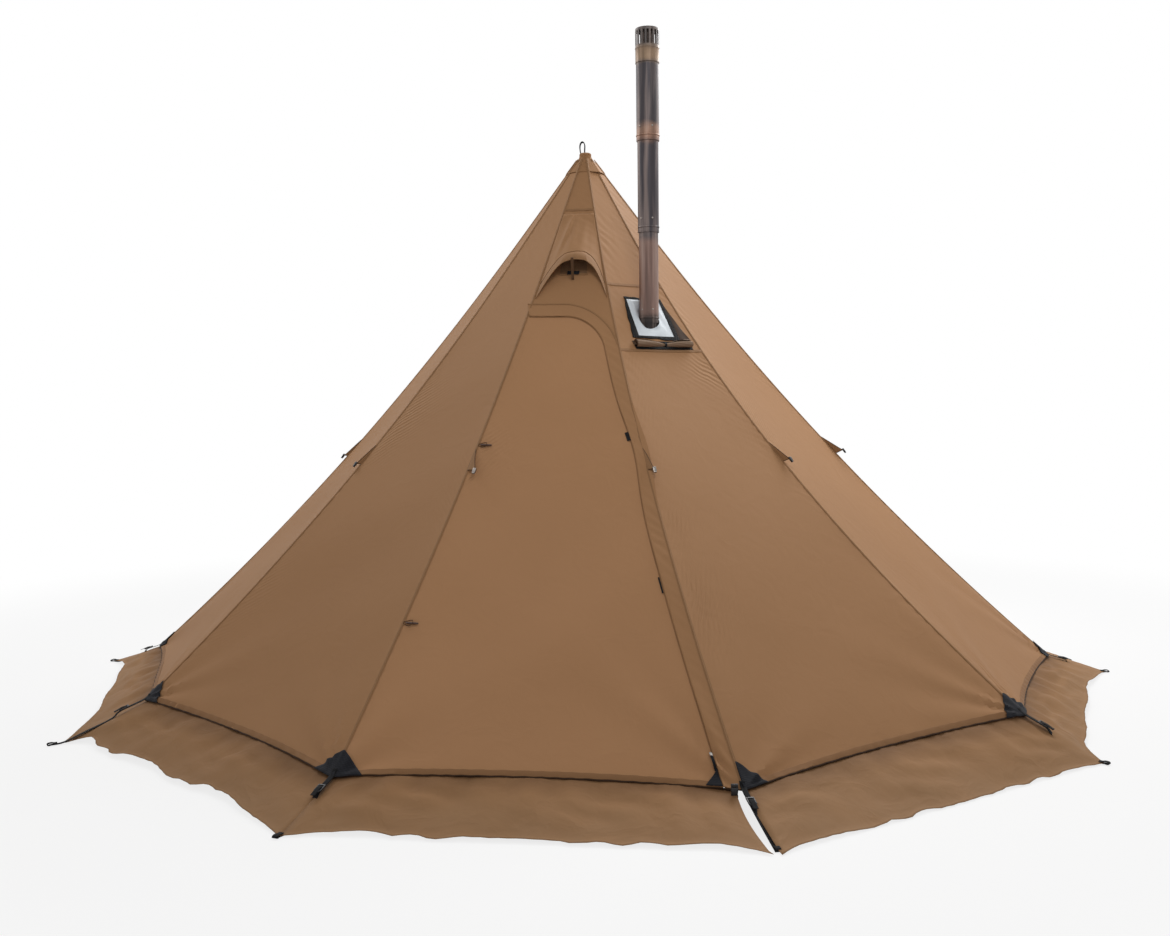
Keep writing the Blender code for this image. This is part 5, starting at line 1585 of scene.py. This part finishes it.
def make_pole():
    """The centre pole keeps its solids and gets its finish."""
    for name in ("pole_lower", "pole_upper"):
        finish_solid(name, "aluminium")


make_materials()
make_fly()
make_door()
make_skirts()
make_ridge_seams()
make_level_seams()
make_hems()
make_patches()
make_storm_flap()
make_zip()
make_hood()
make_vent()
make_jack()
make_flue()
make_cap()
make_straps()
make_guy_loops()
make_toggles()
make_side_release()
make_pole()


# Camera, light and floor


def make_camera():
    """The camera at eye level, a little right of the door, as in the photograph."""
    cos, sin = math.cos(EYE_PITCH), math.sin(EYE_PITCH)
    ahead = Vector((-math.sin(EYE_TURN) * cos, math.cos(EYE_TURN) * cos, sin))
    right = Vector((math.cos(EYE_TURN), math.sin(EYE_TURN), 0.0))
    above = right.cross(ahead)
    across = right * math.cos(EYE_ROLL) + above * math.sin(EYE_ROLL)
    above = above * math.cos(EYE_ROLL) - right * math.sin(EYE_ROLL)
    data = bpy.data.cameras.new("camera")
    data.lens = LENS
    data.sensor_width = 36.0
    data.clip_end = 100.0
    camera = bpy.data.objects.new("camera", data)
    turn = Matrix((across, above, -ahead)).transposed()
    camera.matrix_world = Matrix.Translation(EYE) @ turn.to_4x4()
    bpy.context.scene.collection.objects.link(camera)
    bpy.context.scene.camera = camera


def make_lamp(name, place, aim, size, power):
    """Place a round soft lamp that the camera doesn't see."""
    data = bpy.data.lights.new(name, "AREA")
    data.shape = "DISK"
    data.size = size
    data.energy = power
    lamp = bpy.data.objects.new(name, data)
    lamp.location = place
    lamp.rotation_euler = (Vector(aim) - Vector(place)).to_track_quat("-Z", "Y").to_euler()
    lamp.visible_camera = False
    bpy.context.scene.collection.objects.link(lamp)


def make_light():
    """Soft lamps and a white surround, dimmer on the tent than it looks."""
    make_lamp("right rim", (1.5, 2.0, 4.2), (0.6, 0.0, 1.2), 2.0, 108.0)
    make_lamp("right side", (2.9, 0.9, 3.9), (1.0, 0.0, 1.5), 1.4, 28.0)
    make_lamp("left rim", (-2.7, 1.0, 4.0), (-0.9, 0.0, 1.2), 1.8, 40.0)
    make_lamp("front key", (0.7, -2.4, 3.5), (0.3, -0.5, 1.3), 1.1, 13.5)
    world = bpy.data.worlds.new("studio")
    bpy.context.scene.world = world
    world.use_nodes = True
    tree = world.node_tree
    tree.nodes.clear()
    path = node(tree, "ShaderNodeLightPath")
    seen = sum_of(tree, "MAXIMUM", path.outputs["Is Camera Ray"], path.outputs["Is Glossy Ray"])
    seen = sum_of(tree, "MAXIMUM", seen, path.outputs["Is Transmission Ray"])
    strength = sum_of(tree, "MULTIPLY_ADD", seen, 1.0 - WORLD_LIGHT, WORLD_LIGHT)
    back = node(tree, "ShaderNodeBackground", {"Color": (1.0, 1.0, 1.0, 1.0), "Strength": strength})
    out = tree.nodes.new("ShaderNodeOutputWorld")
    tree.links.new(back.outputs[0], out.inputs[0])


def make_floor():
    """A wide pale floor that fades into the white background and keeps the tent's shadow."""
    corners = np.array([(-1, -1, 0), (1, -1, 0), (1, 1, 0), (-1, 1, 0)]) * FLOOR_SIZE - UP * FLOOR_DROP
    material, tree, shader = start_material("pale floor", 0.9)
    place = placed(tree)
    cloud = noise(tree, place, 0.6, 3.0)
    tree.links.new(mix_colours(tree, cloud, (0.86, 0.86, 0.86, 1.0), (0.9, 0.9, 0.9, 1.0)),
                   shader.inputs["Base Color"])
    path = node(tree, "ShaderNodeLightPath")
    white = node(tree, "ShaderNodeEmission", {"Color": (1.0, 1.0, 1.0, 1.0), "Strength": 1.0})
    away = node(tree, "ShaderNodeVectorMath", {0: place}, operation="LENGTH").outputs["Value"]
    fade = node(tree, "ShaderNodeMapRange",
                {"Value": away, "From Min": 2.9, "From Max": 5.5, "To Min": 0.8, "To Max": 1.0},
                interpolation_type="SMOOTHSTEP")
    half = sum_of(tree, "MULTIPLY", path.outputs["Is Camera Ray"], fade.outputs[0])
    joined = node(tree, "ShaderNodeMixShader", {0: half, 1: shader.outputs[0], 2: white.outputs[0]})
    tree.links.new(joined.outputs[0], tree.nodes["Material Output"].inputs["Surface"])
    floor = make_mesh("studio_floor", corners, [(0, 1, 2, 3)], material, body=None)


make_camera()
make_light()
make_floor()
bpy.context.scene.view_settings.view_transform = "Standard"
